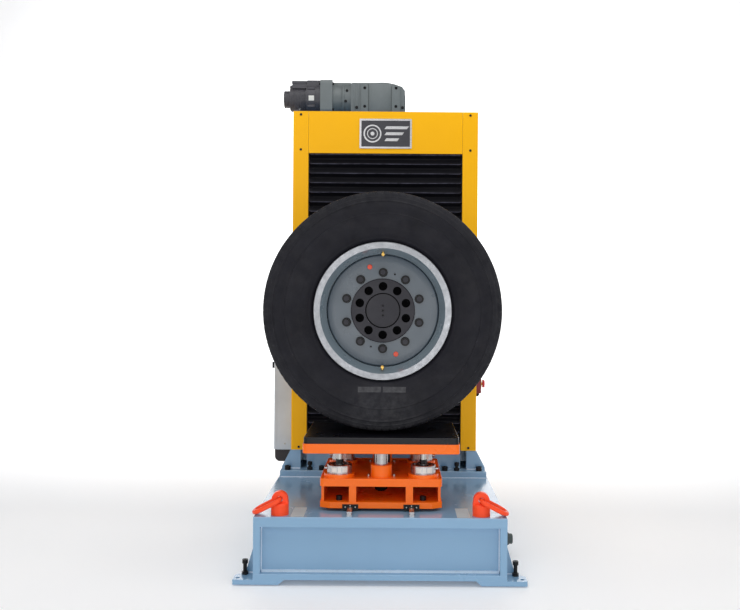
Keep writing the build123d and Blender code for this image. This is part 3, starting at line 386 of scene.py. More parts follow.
# ---------------------------------------------------------------- looks of the CAD nodes
finish_of = {
    "blue": (
        "base_top_plate", "base_bottom_plate", "base_walls", "corner_feet",
        "tower_foot_plate", "tower_columns", "tower_plates", "saddle_plate",
    ),
    "yellow": ("cover_left", "cover_right", "cover_header", "cover_rear"),
    "orange": (
        "carriage_bottom_plate", "carriage_ribs", "carriage_top_plate", "post_sleeve", "platen_subplate",
    ),
    "hoist": ("hoist_body_left", "hoist_body_right", "hoist_link_left", "hoist_link_right"),
    "black": (
        "levelling_screws", "frame_screws", "carriage_screws", "wheel_fasteners",
        "platen_supports", "cabinet_latch",
    ),
    "steel": (
        "linear_rails", "spindle_shaft", "spindle_bearings", "traverse_screw", "traverse_nut", "floor_pads",
    ),
    "steel_up": ("lift_screw", "ball_nut", "screw_bearings"),
    "block": ("carriage_blocks", "lift_blocks"),
    "housing": ("spindle_housing",),
    "hub": ("hub_flange",),
    "gear": ("gear_unit", "motor_adapter"),
    "motor": ("motor_body", "traverse_motor"),
    "chrome": ("platen_post",),
    "cell": ("load_cells",),
    "platen": ("platen_top",),
    "cabinet": ("cabinet_body", "cabinet_door"),
    "black_box": ("cabinet_lower_box",),
    "inlet": ("power_inlet",),
    "maroon": ("estop_box",),
    "red": ("estop_button",),
    "wheel": ("wheel_disc",),
    "rim": ("wheel_rim",),
    "brass": ("wheel_fittings",),
    "tyre": ("tyre",),
    "bellows": ("bellows_upper", "bellows_lower"),
    "plate_dark": ("nameplate",),
}

FOLD_ANGLE = math.radians(32)


def smooth(mesh):
    """Smooth shading that keeps edges sharper than the fold angle."""
    mesh.shade_smooth()
    mesh.set_sharp_from_angle(angle=FOLD_ANGLE)


for finish, names in finish_of.items():
    for name in names:
        node = nodes[name]
        node.data.materials.clear()
        node.data.materials.append(looks[finish])
        smooth(node.data)


def faces_where(node, finish, test):
    """Give another finish to the faces of a CAD node whose middle and normal pass the test."""
    mesh = nodes[node].data
    mesh.materials.append(looks[finish])
    index = len(mesh.materials) - 1
    for face in mesh.polygons:
        if test(face.center, face.normal):
            face.material_index = index


def axle_radius(point):
    return math.hypot(point.x, point.z - AXLE.z)


rim_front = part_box("wheel_rim")[0].y
# Barrel faces inside the turned flange take the lighter grey-blue copy: painted light inside the rim.
faces_where("wheel_rim", "barrel", lambda c, n: axle_radius(c) < 0.272 and c.y > rim_front + 4 * MM)
faces_where("wheel_fittings", "plug", lambda c, n: axle_radius(c) < 0.22)
faces_where("platen_post", "black", lambda c, n: c.z < 0.384 and n.z < 0.5)
# Counterbore walls and the screws deep in them go near-black: painted shade in the hub's recesses.
faces_where("hub_flange", "deep_black", lambda c, n: c.y > -0.4215 and 0.085 < axle_radius(c) < 0.128)
faces_where("wheel_fasteners", "deep_black", lambda c, n: axle_radius(c) < 0.128)
faces_where("wheel_fasteners", "hub", lambda c, n: axle_radius(c) > 0.14 and n.y < -0.5 and c.y < -0.4435)
faces_where("carriage_screws", "zinc", lambda c, n: abs(c.x) < 0.07 and c.z < 0.5)
faces_where("platen_supports", "zinc", lambda c, n: c.z > 0.486 and abs(c.x) > 0.12)


# ---------------------------------------------------------------- mesh helpers
def make_piece(name, bm, finish, body, replaces=(), sharp=True):
    bmesh.ops.remove_doubles(bm, verts=bm.verts, dist=1e-6)
    bmesh.ops.recalc_face_normals(bm, faces=bm.faces)
    mesh = bpy.data.meshes.new(name)
    bm.to_mesh(mesh)
    bm.free()
    mesh.materials.append(looks[finish])
    if sharp:
        smooth(mesh)
    else:
        mesh.shade_smooth()
    obj = bpy.data.objects.new(name, mesh)
    bpy.context.scene.collection.objects.link(obj)
    if replaces:
        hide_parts(*replaces)
    if body:
        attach(obj, body)
    return obj


def add_grid(bm, rows, wrap_rows=False, wrap_cols=False):
    """Join rows of vertices with quads."""
    row_count, col_count = len(rows), len(rows[0])
    for i in range(row_count if wrap_rows else row_count - 1):
        near, far = rows[i], rows[(i + 1) % row_count]
        for j in range(col_count if wrap_cols else col_count - 1):
            k = (j + 1) % col_count
            bm.faces.new((near[j], near[k], far[k], far[j]))


def turned(bm, outline, centre, axis, steps=32, closed=True):
    """Turn (along, radius) points round an axis; a radius may be a function of the angle."""
    axis = Vector(axis).normalized()
    side = axis.orthogonal().normalized()
    other = axis.cross(side)
    centre = Vector(centre)
    rows = []
    for step in range(steps):
        angle = 2 * math.pi * step / steps
        out = side * math.cos(angle) + other * math.sin(angle)
        row = []
        for along, radius in outline:
            reach = radius(angle) if callable(radius) else radius
            row.append(bm.verts.new(centre + axis * along + out * reach))
        rows.append(row)
    add_grid(bm, rows, wrap_rows=True, wrap_cols=closed)


def block(bm, low, high, bevel=0.0, segments=2):
    made = bmesh.ops.create_cube(bm, size=1)["verts"]
    low, high = Vector(low), Vector(high)
    for vert in made:
        vert.co = Vector(low[i] + (high[i] - low[i]) * (vert.co[i] + 0.5) for i in range(3))
    if bevel:
        edges = list({edge for vert in made for edge in vert.link_edges})
        bmesh.ops.bevel(bm, geom=edges, offset=bevel, segments=segments, affect="EDGES", profile=0.5)


def hex_radius(flats):
    """Radius of a hexagon at an angle, for turned()."""
    return lambda angle: flats / 2 / math.cos(angle % (math.pi / 3) - math.pi / 6)


def socket_head(bm, seat, axis, size, height=None):
    """Socket screw head with its hexagon recess."""
    tall = height or size
    rim = size * 0.75
    outline = (
        (0, 0), (0, rim), (tall - size * 0.1, rim), (tall, rim - size * 0.1),
        (tall, hex_radius(size * 0.84)), (tall * 0.45, hex_radius(size * 0.84)), (tall * 0.4, 0),
    )
    turned(bm, outline, seat, axis, 24, closed=False)


def pan_head(bm, seat, axis, radius, height):
    """Low domed screw head with a small hexagon recess."""
    outline = (
        (0, 0), (0, radius), (height * 0.45, radius * 0.96), (height * 0.85, radius * 0.72),
        (height, hex_radius(radius * 0.9)), (height * 0.3, hex_radius(radius * 0.9)), (height * 0.2, 0),
    )
    turned(bm, outline, seat, axis, 24, closed=False)


def hex_head(bm, seat, axis, flats, height):
    """Hexagon head with a chamfered top and a thin washer face."""
    outline = (
        (0, 0), (0, flats * 0.49), (height * 0.08, flats * 0.49), (height * 0.08, hex_radius(flats)),
        (height * 0.82, hex_radius(flats)), (height, flats * 0.46), (height, 0),
    )
    turned(bm, outline, seat, axis, 24, closed=False)


def weld_bead(bm, start, end, radius=0.004):
    """Rippled bead laid along a corner line."""
    start, end = Vector(start), Vector(end)
    run = end - start
    axis = run.normalized()
    side = axis.orthogonal().normalized()
    other = axis.cross(side)
    pitch = 0.0045
    steps = max(4, int(run.length / pitch) * 2)
    rows = []
    for step in range(steps + 1):
        centre = start + run * step / steps
        swell = 1.0 if step % 2 else 0.84
        swell += 0.1 * noise.noise(centre * 40)
        if step in (0, steps):
            swell = 0.35
        ring = []
        for corner in range(8):
            angle = 2 * math.pi * corner / 8
            out = side * math.cos(angle) + other * math.sin(angle)
            ring.append(bm.verts.new(centre + out * radius * swell))
        rows.append(ring)
    add_grid(bm, rows, wrap_cols=True)
    bm.faces.new(rows[0])
    bm.faces.new(rows[-1])


def curve_through(points, samples):
    """Points along a smooth curve through the given ones."""
    padded = [points[0], *points, points[-1]]
    line = []
    for p0, p1, p2, p3 in zip(padded, padded[1:], padded[2:], padded[3:]):
        for step in range(samples):
            t = step / samples
            line.append(
                tuple(
                    0.5 * (2 * b + (c - a) * t + (2 * a - 5 * b + 4 * c - d) * t * t
                           + (3 * b - a - 3 * c + d) * t**3)
                    for a, b, c, d in zip(p0, p1, p2, p3)
                )
            )
    return [*line, points[-1]]


# ---------------------------------------------------------------- tyre
TYRE_LOW, TYRE_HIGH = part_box("tyre")
CROWN = (TYRE_HIGH.z - TYRE_LOW.z) / 2
TREAD_EDGE = 0.126
GROOVES = (0.027, 0.078)
GROOVE_W = 0.012
GROOVE_D = 0.017
TYRE_STEPS = 768
SIPE_EVERY = 8


def crown_radius(y):
    """The tread falls by 10 mm from the middle to its edge."""
    return CROWN - 0.010 * (y / TREAD_EDGE) ** 2


def sidewall_relief(radius):
    """Height of the moulded rings on the sidewall."""
    rings = (
        (0.311, 0.004, 0.0022),
        (0.355, 0.0015, 0.0009),
        (0.417, 0.002, 0.0017),
        (0.471, 0.0028, 0.0026),
        (0.489, 0.0018, 0.0014),
    )
    height = sum(tall * math.exp(-(((radius - place) / wide) ** 2)) for place, wide, tall in rings)
    if 0.419 < radius < 0.469:
        height -= 0.0008
    return height


def half_tyre():
    """(offset from the middle, radius, kind) points from the tread's middle to the bead."""
    outline = []
    tread = [0.0, 0.010]
    for groove in GROOVES:
        near, far = groove - GROOVE_W / 2, groove + GROOVE_W / 2
        tread += [near - 0.008, near - 0.0012, (near, far), far + 0.0012, far + 0.008]
    tread += [0.1, 0.112, 0.120]
    for item in tread:
        if isinstance(item, tuple):
            near, far = item
            top = crown_radius(near)
            outline.append((near, top - 0.0012, "wall"))
            outline.append((near + 0.0016, top - GROOVE_D + 0.002, "floor"))
            outline.append((near + 0.0032, top - GROOVE_D, "floor"))
            outline.append((far - 0.0032, top - GROOVE_D, "floor"))
            outline.append((far - 0.0016, top - GROOVE_D + 0.002, "floor"))
            outline.append((far, top - 0.0012, "wall"))
        else:
            kind = "edge" if any(abs(item - groove) < 0.0075 for groove in GROOVES) else "tread"
            outline.append((item, crown_radius(item), kind))
    outline += [(0.126, 0.512, "edge"), (0.1295, 0.5085, "shoulder"), (0.134, 0.503, "shoulder")]
    wall = curve_through(((0.134, 0.503), (0.144, 0.460), (0.149, 0.400), (0.132, 0.330), (0.110, 0.302)), 22)
    for y, radius in wall[1:-1]:
        outline.append((y + sidewall_relief(radius), radius, "sidewall"))
    bead = ((0.110, 0.302), (0.107, 0.2995), (0.105, 0.291), (0.101, 0.2862), (0.062, 0.276))
    outline += [(y, radius, "bead") for y, radius in bead]
    return outline


def in_plain_bar(angle, radius):
    """Two short raised bars end to end below the axle, near the rim."""
    across = radius * math.cos(angle)
    drop = -radius * math.sin(angle)
    return 0.003 < abs(across) < 0.103 and 0.323 < drop < 0.347


def tyre_piece():
    """Ribbed truck tyre: grooves, sipes, shoulder flutes and moulded sidewall rings."""
    half = half_tyre()
    inside = ((0.062, 0.276), (0.074, 0.300), (0.112, 0.340), (0.128, 0.400), (0.120, 0.460), (0.096, 0.488))
    lining = curve_through(inside, 3)
    inside = [(y, radius, "lining") for y, radius in lining[1:]]
    front = [(-y, radius, kind) for y, radius, kind in half]
    inner_front = [(-y, radius, kind) for y, radius, kind in inside]
    outline = front[::-1] + half[1:] + inside + inner_front[::-1]
    bm = bmesh.new()
    rows = []
    for step in range(TYRE_STEPS):
        angle = 2 * math.pi * step / TYRE_STEPS
        row = []
        for y, radius, kind in outline:
            reach, shift = radius, 0.0
            in_sipe = step % SIPE_EVERY == 0
            if in_sipe and (kind == "edge" or (kind == "tread" and abs(y) > 0.11) or kind == "shoulder"):
                reach -= 0.0035
            if kind == "sidewall" and 0.478 < radius < 0.500 and step % 4 < 2:
                shift = 0.0006
            if kind == "sidewall" and 0.424 < radius < 0.464 and abs(math.cos(angle)) > 0.86:
                shift = 0.0007
            if kind == "sidewall" and in_plain_bar(angle, radius):
                shift = 0.0012
            place = y + math.copysign(shift, y)
            row.append(
                bm.verts.new(
                    (reach * math.cos(angle), AXLE.y + place, AXLE.z + reach * math.sin(angle))
                )
            )
        rows.append(row)
    add_grid(bm, rows, wrap_rows=True, wrap_cols=True)
    make_piece("tyre_tread_and_sidewalls", bm, "tyre", "wheel", ("tyre",))


tyre_piece()


# ---------------------------------------------------------------- bellows
def bellows_piece(name, node, pleats):
    """Pleated cloth: soft ridges that sag a little and close up at the two ends."""
    low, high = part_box(node)
    pitch = (high.z - low.z) / pleats
    samples = (0.0, 0.05, 0.12, 0.22, 0.36, 0.5, 0.64, 0.78, 0.88, 0.95)
    heights = [(i + t, t) for i in range(pleats) for t in samples] + [(pleats, 0.0)]
    columns = 40
    width = high.x - low.x
    front_y, deep = low.y + 0.0008, 0.0225
    end_run = 0.012
    bm = bmesh.new()
    front, back = [], []
    for number, t in heights:
        fold = (1 - abs(2 * t - 1)) ** 0.85
        ridge = 1 - fold
        front_row, back_row = [], []
        for col in range(columns + 1):
            share = col / columns
            swing = math.cos(math.pi * share)
            x = low.x + width * (0.5 - 0.5 * swing * (0.9 + 0.1 * abs(swing)))
            edge = min(1.0, min(x - low.x, high.x - x) / end_run)
            wobble = noise.noise(Vector((x * 5, number * 1.7, 3.1))) * edge
            y = front_y + 0.0045 * (1 - edge) + deep * fold * (0.35 + 0.65 * edge) + 0.0009 * abs(wobble)
            z = low.z + number * pitch - 0.1 * pitch * ridge * edge + 0.0016 * wobble
            if number in (0, pleats):
                z = low.z + number * pitch
            front_row.append(bm.verts.new((x, y, min(max(z, low.z), high.z))))
            back_row.append(bm.verts.new((x, high.y - 0.001, low.z + number * pitch)))
        front.append(front_row)
        back.append(back_row)
    add_grid(bm, front)
    add_grid(bm, back)
    for col in (0, columns):
        add_grid(bm, [[row[col] for row in front], [row[col] for row in back]])
    for row in (0, -1):
        add_grid(bm, [front[row], back[row]])
    piece = make_piece(name, bm, "bellows", None, (node,), sharp=False)
    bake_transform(piece)


bellows_piece("bellows_cloth_upper", "bellows_upper", 11)
bellows_piece("bellows_cloth_lower", "bellows_lower", 10)


def sheet_patch(bm, points, thickness):
    """Thin plate: a grid of surface points with outward normals, given a thickness."""
    top = [[bm.verts.new(point + normal * thickness) for point, normal in row] for row in points]
    low = [[bm.verts.new(point - normal * 0.0002) for point, normal in row] for row in points]
    add_grid(bm, top)
    add_grid(bm, low)
    for row in (0, -1):
        add_grid(bm, [top[row], low[row]])
    for col in (0, -1):
        add_grid(bm, [[row[col] for row in top], [row[col] for row in low]])


def curved_label(bm, centre, axis, radius, turn, along, thickness=0.0004, steps=10):
    """Label wrapped on a cylinder, between two angles and two places along its axis."""
    axis = Vector(axis)
    side = Vector((0, -1, 0))
    other = axis.cross(side)
    rows = []
    for step in range(steps + 1):
        angle = turn[0] + (turn[1] - turn[0]) * step / steps
        normal = side * math.cos(angle) + other * math.sin(angle)
        rows.append([(Vector(centre) + axis * place + normal * radius, normal) for place in along])
    sheet_patch(bm, rows, thickness)


def flat_label(bm, corner, across, up, normal, thickness=0.0003):
    """Flat sticker with cut corners."""
    across, up, normal, corner = Vector(across), Vector(up), Vector(normal), Vector(corner)
    cut = 0.06 * min(across.length, up.length)
    u, v = across.normalized() * cut, up.normalized() * cut
    outline = (
        corner + u, corner + across - u, corner + across + v, corner + across + up - v,
        corner + across + up - u, corner + up + u, corner + up - v, corner + v,
    )
    extrude_outline(bm, outline, normal * thickness)


def extrude_outline(bm, outline, depth):
    near = [bm.verts.new(point) for point in outline]
    far = [bm.verts.new(Vector(point) + Vector(depth)) for point in outline]
    bm.faces.new(near)
    bm.faces.new(far)
    add_grid(bm, [near, far], wrap_cols=True)


# ---------------------------------------------------------------- nameplate
def nameplate_mark():
    """Plain mark for the blank plate: a wheel beside three bars."""
    low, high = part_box("nameplate")
    face = low.y + 1 * MM
    middle = (low.z + high.z) / 2
    bm = bmesh.new()
    for outer, inner in ((0.045, 0.038), (0.027, 0.023), (0.010, 0.0)):
        rim = (outer - 0.0004, outer, outer - 0.0003)
        outline = [(0, inner), (0, rim[0]), (0.0004, rim[1]), (0.0009, rim[2]), (0.0009, inner)]
        turned(bm, outline, (-0.066, face + 0.0002, middle), (0, -1, 0), 64)
    slant = 0.010
    for row, length in enumerate((0.112, 0.088, 0.064)):
        z = middle + (1 - row) * 0.030
        left, tall = -0.006, 0.007
        right = left + length
        corners = ((left, z - tall), (right, z - tall), (right + slant, z + tall), (left + slant, z + tall))
        extrude_outline(bm, [(x, face + 0.0002, height) for x, height in corners], (0, -0.0009, 0))
    make_piece("nameplate_mark", bm, "plate_silver", "root")


plate_low, plate_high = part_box("nameplate")
BORDER = 9 * MM
faces_where(
    "nameplate",
    "plate_silver",
    lambda c, n: c.y < plate_low.y + 0.9 * MM or c.x < plate_low.x + BORDER or c.x > plate_high.x - BORDER,
)
nameplate_mark()


# ---------------------------------------------------------------- top drive
DRIVE = Vector((0, 0.330, 2.205))
BARREL_R = 0.078


def motor_details():
    """Blank rating label, clamp ribs, terminal box lid and cable gland."""
    bm = bmesh.new()
    curved_label(bm, (0, DRIVE.y, DRIVE.z), (1, 0, 0), BARREL_R, (-0.07, 0.26), (-0.4015, -0.3735))
    make_piece("motor_blank_label", bm, "label", "root")

    bm = bmesh.new()
    for x0, x1 in ((-0.4125, -0.409), (-0.370, -0.3665)):
        inner, outer = BARREL_R - 0.002, BARREL_R + 0.003
        outline = [(x0, inner), (x0, outer), (x1, outer), (x1, inner)]
        turned(bm, outline, (0, DRIVE.y, DRIVE.z), (1, 0, 0), 72)
    for step in range(9):
        x = -0.498 + step * 0.0086
        fin = ((0, 0.059), (0, 0.0638), (0.0008, 0.0645), (0.0028, 0.0645), (0.0036, 0.0638), (0.0036, 0.059))
        turned(bm, [(x + along, radius) for along, radius in fin], (0, DRIVE.y, DRIVE.z), (1, 0, 0), 64)
    for step in range(3):
        x = -0.5335 + step * 0.009
        outline = [(x, 0.041), (x, 0.0452), (x + 0.004, 0.0452), (x + 0.004, 0.041)]
        turned(bm, outline, (0, DRIVE.y, DRIVE.z), (1, 0, 0), 56)
    for turn in (0.62, -0.62, 2.52, -2.52):
        normal = Vector((0, -math.cos(turn), math.sin(turn)))
        centre = Vector((0, DRIVE.y, DRIVE.z)) + normal * (BARREL_R + 0.001)
        low = (-0.409, centre.y - 0.006, centre.z - 0.006)
        high = (-0.370, centre.y + 0.006, centre.z + 0.006)
        block(bm, low, high, 0.0015)
    make_piece("motor_ribs", bm, "motor", "root")

    bm = bmesh.new()
    lid_y = 0.0475
    for x0, x1, top in ((-0.4925, -0.4145, 2.294), (-0.4105, -0.3425, 2.296)):
        block(bm, (x0, DRIVE.y - lid_y, top - 0.016), (x1, DRIVE.y + lid_y, top - 0.0005), 0.003)
        for x in (x0 + 0.008, x1 - 0.008):
            for y in (-0.039, 0.039):
                socket_head(bm, (x, DRIVE.y + y, top - 0.004), (0, 0, 1), 0.004, 0.0034)
    turned(
        bm,
        (
            (0, 0), (0, 0.011), (0.004, 0.011), (0.004, hex_radius(0.018)), (0.012, hex_radius(0.018)),
            (0.014, 0.007), (0.020, 0.0065), (0.020, 0),
        ),
        (-0.489, DRIVE.y + 0.012, 2.274),
        (-1, 0, 0),
        24,
        closed=False,
    )
    make_piece("terminal_box_lid", bm, "motor", "root")

    bm = bmesh.new()
    for x, z in ((-0.350, 2.262), (-0.452, 2.152)):
        y = DRIVE.y - 0.050 if z > DRIVE.z else DRIVE.y - math.sqrt(0.061**2 - (DRIVE.z - z) ** 2)
        pan_head(bm, (x, y + 0.0005, z), (0, -1, 0), 0.0055, 0.003)
    make_piece("motor_bright_screws", bm, "zinc", "root")


def gear_details():
    """Oil plugs, breather, cover plate joints and adapter screws."""
    bm = bmesh.new()
    for x, z in ((-0.204, 2.240), (-0.210, 2.184)):
        y = DRIVE.y - math.sqrt(0.074**2 - (z - DRIVE.z) ** 2) + 0.002
        hex_head(bm, (x, y, z), (0, -1, 0), 0.013, 0.008)
    for x in (0.084, -0.153):
        hex_head(bm, (x, 0.2505, 2.150), (0, -1, 0), 0.014, 0.007)
    turned(
        bm,
        ((0, 0), (0, 0.007), (0.004, 0.007), (0.004, 0.009), (0.009, 0.009), (0.011, 0.006), (0.011, 0)),
        (-0.120, 0.36, 2.277),
        (0, 0, 1),
        24,
        closed=False,
    )
    make_piece("gear_oil_plugs", bm, "black", "root")

    bm = bmesh.new()
    block(bm, (-0.0925, 0.2475, 2.121), (0.0275, 0.252, 2.2705), 0.0018)
    block(bm, (-0.2775, DRIVE.y - 0.034, 2.262), (-0.1835, DRIVE.y + 0.034, 2.290), 0.006, 3)
    for x in (-0.147, -0.167):
        block(bm, (x, 0.2482, 2.124), (x + 0.006, 0.252, 2.268), 0.0015)
    turned(
        bm,
        ((0, 0.030), (0, 0.044), (0.0025, 0.044), (0.0035, 0.042), (0.0035, 0.030)),
        (0.0965, DRIVE.y, 2.188),
        (1, 0, 0),
        56,
    )
    turned(
        bm,
        ((0, 0.070), (0, 0.0765), (0.002, 0.078), (0.010, 0.078), (0.012, 0.0765), (0.012, 0.070)),
        (-0.229, DRIVE.y, DRIVE.z),
        (1, 0, 0),
        72,
    )
    make_piece("gear_cover_plates", bm, "gear", "root")

    bm = bmesh.new()
    for y in (-0.082, 0.082):
        for z in (-0.066, 0.066):
            socket_head(bm, (-0.2785, DRIVE.y + y, DRIVE.z + z), (1, 0, 0), 0.009, 0.008)
            socket_head(bm, (-0.3395, DRIVE.y + y, DRIVE.z + z), (-1, 0, 0), 0.009, 0.008)
    for step in range(8):
        turn = math.pi * (step + 0.5) / 4
        place = (0.083 * math.cos(turn), DRIVE.y + 0.083 * math.sin(turn), 2.1168)
        pan_head(bm, place, (0, 0, 1), 0.006, 0.004)
    make_piece("drive_flange_screws", bm, "black", "root")


motor_details()
gear_details()


# ---------------------------------------------------------------- wheel centre
def wheel_centre_rings():
    """The disc's flat outer land, and a near-black ring in the hub's centre recess as painted shadow."""
    face = -0.41005
    bm = bmesh.new()
    turned(
        bm,
        (
            (face, 0.2105), (face, 0.2385), (face + 0.0006, 0.2410), (face + 0.0022, 0.2432),
            (face + 0.0050, 0.2450), (face + 0.0090, 0.2458), (face + 0.0150, 0.2460),
            (face + 0.0150, 0.2105),
        ),
        (0, 0, AXLE.z),
        (0, 1, 0),
        192,
    )
    make_piece("wheel_disc_outer_land", bm, "wheel", "wheel")
    # Near-black ring at the recess edge: painted shadow of the recess wall.
    bm = bmesh.new()
    turned(
        bm,
        ((-0.4085, 0.0725), (-0.4105, 0.0730), (-0.4112, 0.0745), (-0.4112, 0.0772), (-0.4085, 0.0772)),
        (0, 0, AXLE.z),
        (0, 1, 0),
        128,
    )
    make_piece("hub_recess_shadow_ring", bm, "deep_black", "wheel")


wheel_centre_rings()


# ---------------------------------------------------------------- load cells and carriage
cell_low, cell_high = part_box("load_cells")
CELL_R = 0.0525
POST_R = 0.028
RAIL_H = 0.020
CELLS = [
    (x, y)
    for x in (cell_low.x + CELL_R, cell_high.x - CELL_R)
    for y in (cell_low.y + CELL_R, cell_high.y - CELL_R)
]
RING_TOP = cell_high.z - 2 * MM


def load_cell_details():
    bm = bmesh.new()
    for x, y in CELLS:
        for first, last in ((-0.62, -0.16), (-0.08, 0.20), (0.30, 0.74)):
            curved_label(bm, (x, y, cell_low.z), (0, 0, 1), CELL_R, (first, last), (0.008, 0.029))
    make_piece("load_cell_blank_labels", bm, "label", "carriage")

    bm = bmesh.new()
    for x, y in CELLS:
        for step in range(8):
            turn = math.pi / 4 * (step + 0.5)
            place = (x + 0.0445 * math.cos(turn), y + 0.0445 * math.sin(turn), RING_TOP - 0.0005)
            pan_head(bm, place, (0, 0, 1), 0.0042, 0.0025)
        turned(
            bm,
            ((0, 0.0265), (0, 0.034), (0.0028, 0.034), (0.0034, 0.033), (0.0034, 0.0265)),
            (x, y, RING_TOP - 0.004),
            (0, 0, 1),
            48,
        )
    make_piece("load_cell_screws", bm, "black", "carriage")

    bm = bmesh.new()
    for x, y in CELLS:
        out = math.copysign(1, x)
        turned(
            bm,
            (
                (0, 0), (0, 0.009), (0.006, 0.009), (0.006, 0.0075), (0.013, 0.0075),
                (0.014, 0.0068), (0.014, 0),
            ),
            (x + out * (CELL_R - 0.002), y, cell_low.z + 0.018),
            (out, 0, 0),
            28,
            closed=False,
        )
    make_piece("load_cell_sockets", bm, "steel", "carriage")

    post_low, post_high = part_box("platen_post")
    bm = bmesh.new()
    for y in (post_low.y + POST_R, post_high.y - POST_R):
        turned(
            bm,
            (
                (0.004, 0), (0.004, 0.0262), (-0.003, 0.0262), (-0.008, 0.0225), (-0.012, 0.0165),
                (-0.0138, 0.009), (-0.0142, 0),
            ),
            (0, y, post_low.z),
            (0, 0, 1),
            48,
            closed=False,
        )
    make_piece("post_end_domes", bm, "deep_black", "carriage")


block_low, block_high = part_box("carriage_blocks")
RAIL_X = 0.128
BASE_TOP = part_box("base_top_plate")[1].z


def rail_block_seals():
    """End seals that straddle each rail, with screws and a grease nipple."""
    seals, screws = bmesh.new(), bmesh.new()
    ends = [(block_low.y, -1), (block_high.y, 1), (block_low.y + 0.120, 1), (block_high.y - 0.120, -1)]
    for side in SIDES:
        x = side * RAIL_X
        for y, way in ends:
            z0, z1 = block_low.z + 0.0015, block_high.z - 0.002
            slot_top = BASE_TOP + 0.0212
            outline = (
                (x - 0.0305, z0), (x - 0.0112, z0), (x - 0.0112, slot_top), (x + 0.0112, slot_top),
                (x + 0.0112, z0), (x + 0.0305, z0), (x + 0.0305, z1 - 0.004), (x + 0.0265, z1),
                (x - 0.0265, z1), (x - 0.0305, z1 - 0.004),
            )
            extrude_outline(seals, [(u, y - way * 0.0005, v) for u, v in outline], (0, way * 0.0035, 0))
            for offset in (-0.021, 0.021):
                pan_head(screws, (x + offset, y + way * 0.003, z0 + 0.013), (0, way, 0), 0.0032, 0.0018)
            hex_head(screws, (x, y + way * 0.003, z1 - 0.003), (0, way, 0), 0.005, 0.003)
    make_piece("rail_block_end_seals", seals, "black", "carriage")
    make_piece("rail_block_screws", screws, "zinc", "carriage")


def rail_caps():
    """Plastic plugs in the base rails' screw holes."""
    bm = bmesh.new()
    for side in SIDES:
        for step in range(12):
            centre = (side * RAIL_X, -0.670 + step * 0.0625, BASE_TOP + RAIL_H)
            plug = ((-0.001, 0), (-0.001, 0.0055), (0.0002, 0.0055), (0.0003, 0.0048), (0.0003, 0))
            turned(bm, plug, centre, (0, 0, 1), 20, closed=False)
    make_piece("rail_hole_caps", bm, "inlet", "root")


load_cell_details()
rail_block_seals()
rail_caps()


# ---------------------------------------------------------------- base: welds and blank stickers
wall_low, wall_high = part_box("base_walls")
PANEL_Y = 0.662
INNER_X = wall_high.x - 0.028


def base_welds():
    """Beads in the corners of the recessed end panels, at the gussets and under the tower, in a pale glossy
    blue that is painted highlight.
    """
    bm = bmesh.new()
    for end in SIDES:
        y = end * (PANEL_Y + 0.001)
        weld_bead(bm, (-INNER_X, y, wall_high.z), (INNER_X, y, wall_high.z), 0.0045)
        weld_bead(bm, (-INNER_X, y, wall_low.z), (INNER_X, y, wall_low.z), 0.010)
        for side in SIDES:
            weld_bead(bm, (side * INNER_X, y, wall_low.z), (side * INNER_X, y, wall_high.z), 0.004)
            face = side * wall_high.x
            for edge in (-0.001, 0.015):
                gusset_y = end * (0.700 - 0.108 + edge)
                weld_bead(bm, (face, gusset_y, 0.028), (face, gusset_y, 0.172), 0.003)
                weld_bead(bm, (face, gusset_y, 0.0255), (side * 0.556, gusset_y, 0.0255), 0.003)
            weld_bead(bm, (face, end * 0.600, 0.0255), (face, end * 0.692, 0.0255), 0.003)
    for side in SIDES:
        weld_bead(bm, (side * 0.4155, 0.1125, 0.3125), (side * 0.4595, 0.1125, 0.3125), 0.004)
        weld_bead(bm, (side * 0.4605, 0.114, 0.3125), (side * 0.4605, 0.270, 0.3125), 0.004)
        weld_bead(bm, (side * 0.5095, 0.060, 0.2805), (side * 0.5095, 0.688, 0.2805), 0.0035)
    weld_bead(bm, (-0.508, 0.0575, 0.2805), (0.508, 0.0575, 0.2805), 0.0035)
    make_piece("base_weld_beads", bm, "weld", "root")


def base_stickers():
    bm = bmesh.new()
    for side in SIDES:
        left = min(side * 0.313, side * 0.367)
        flat_label(bm, (left, -0.690, BASE_TOP), (0.054, 0, 0), (0, 0.150, 0), (0, 0, 1))
    make_piece("base_blank_stickers", bm, "sticker", "root")


base_welds()
base_stickers()


# ---------------------------------------------------------------- cabinet, stop station, inlet
cab_low, cab_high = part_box("cabinet_body")
door_low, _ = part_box("cabinet_door")


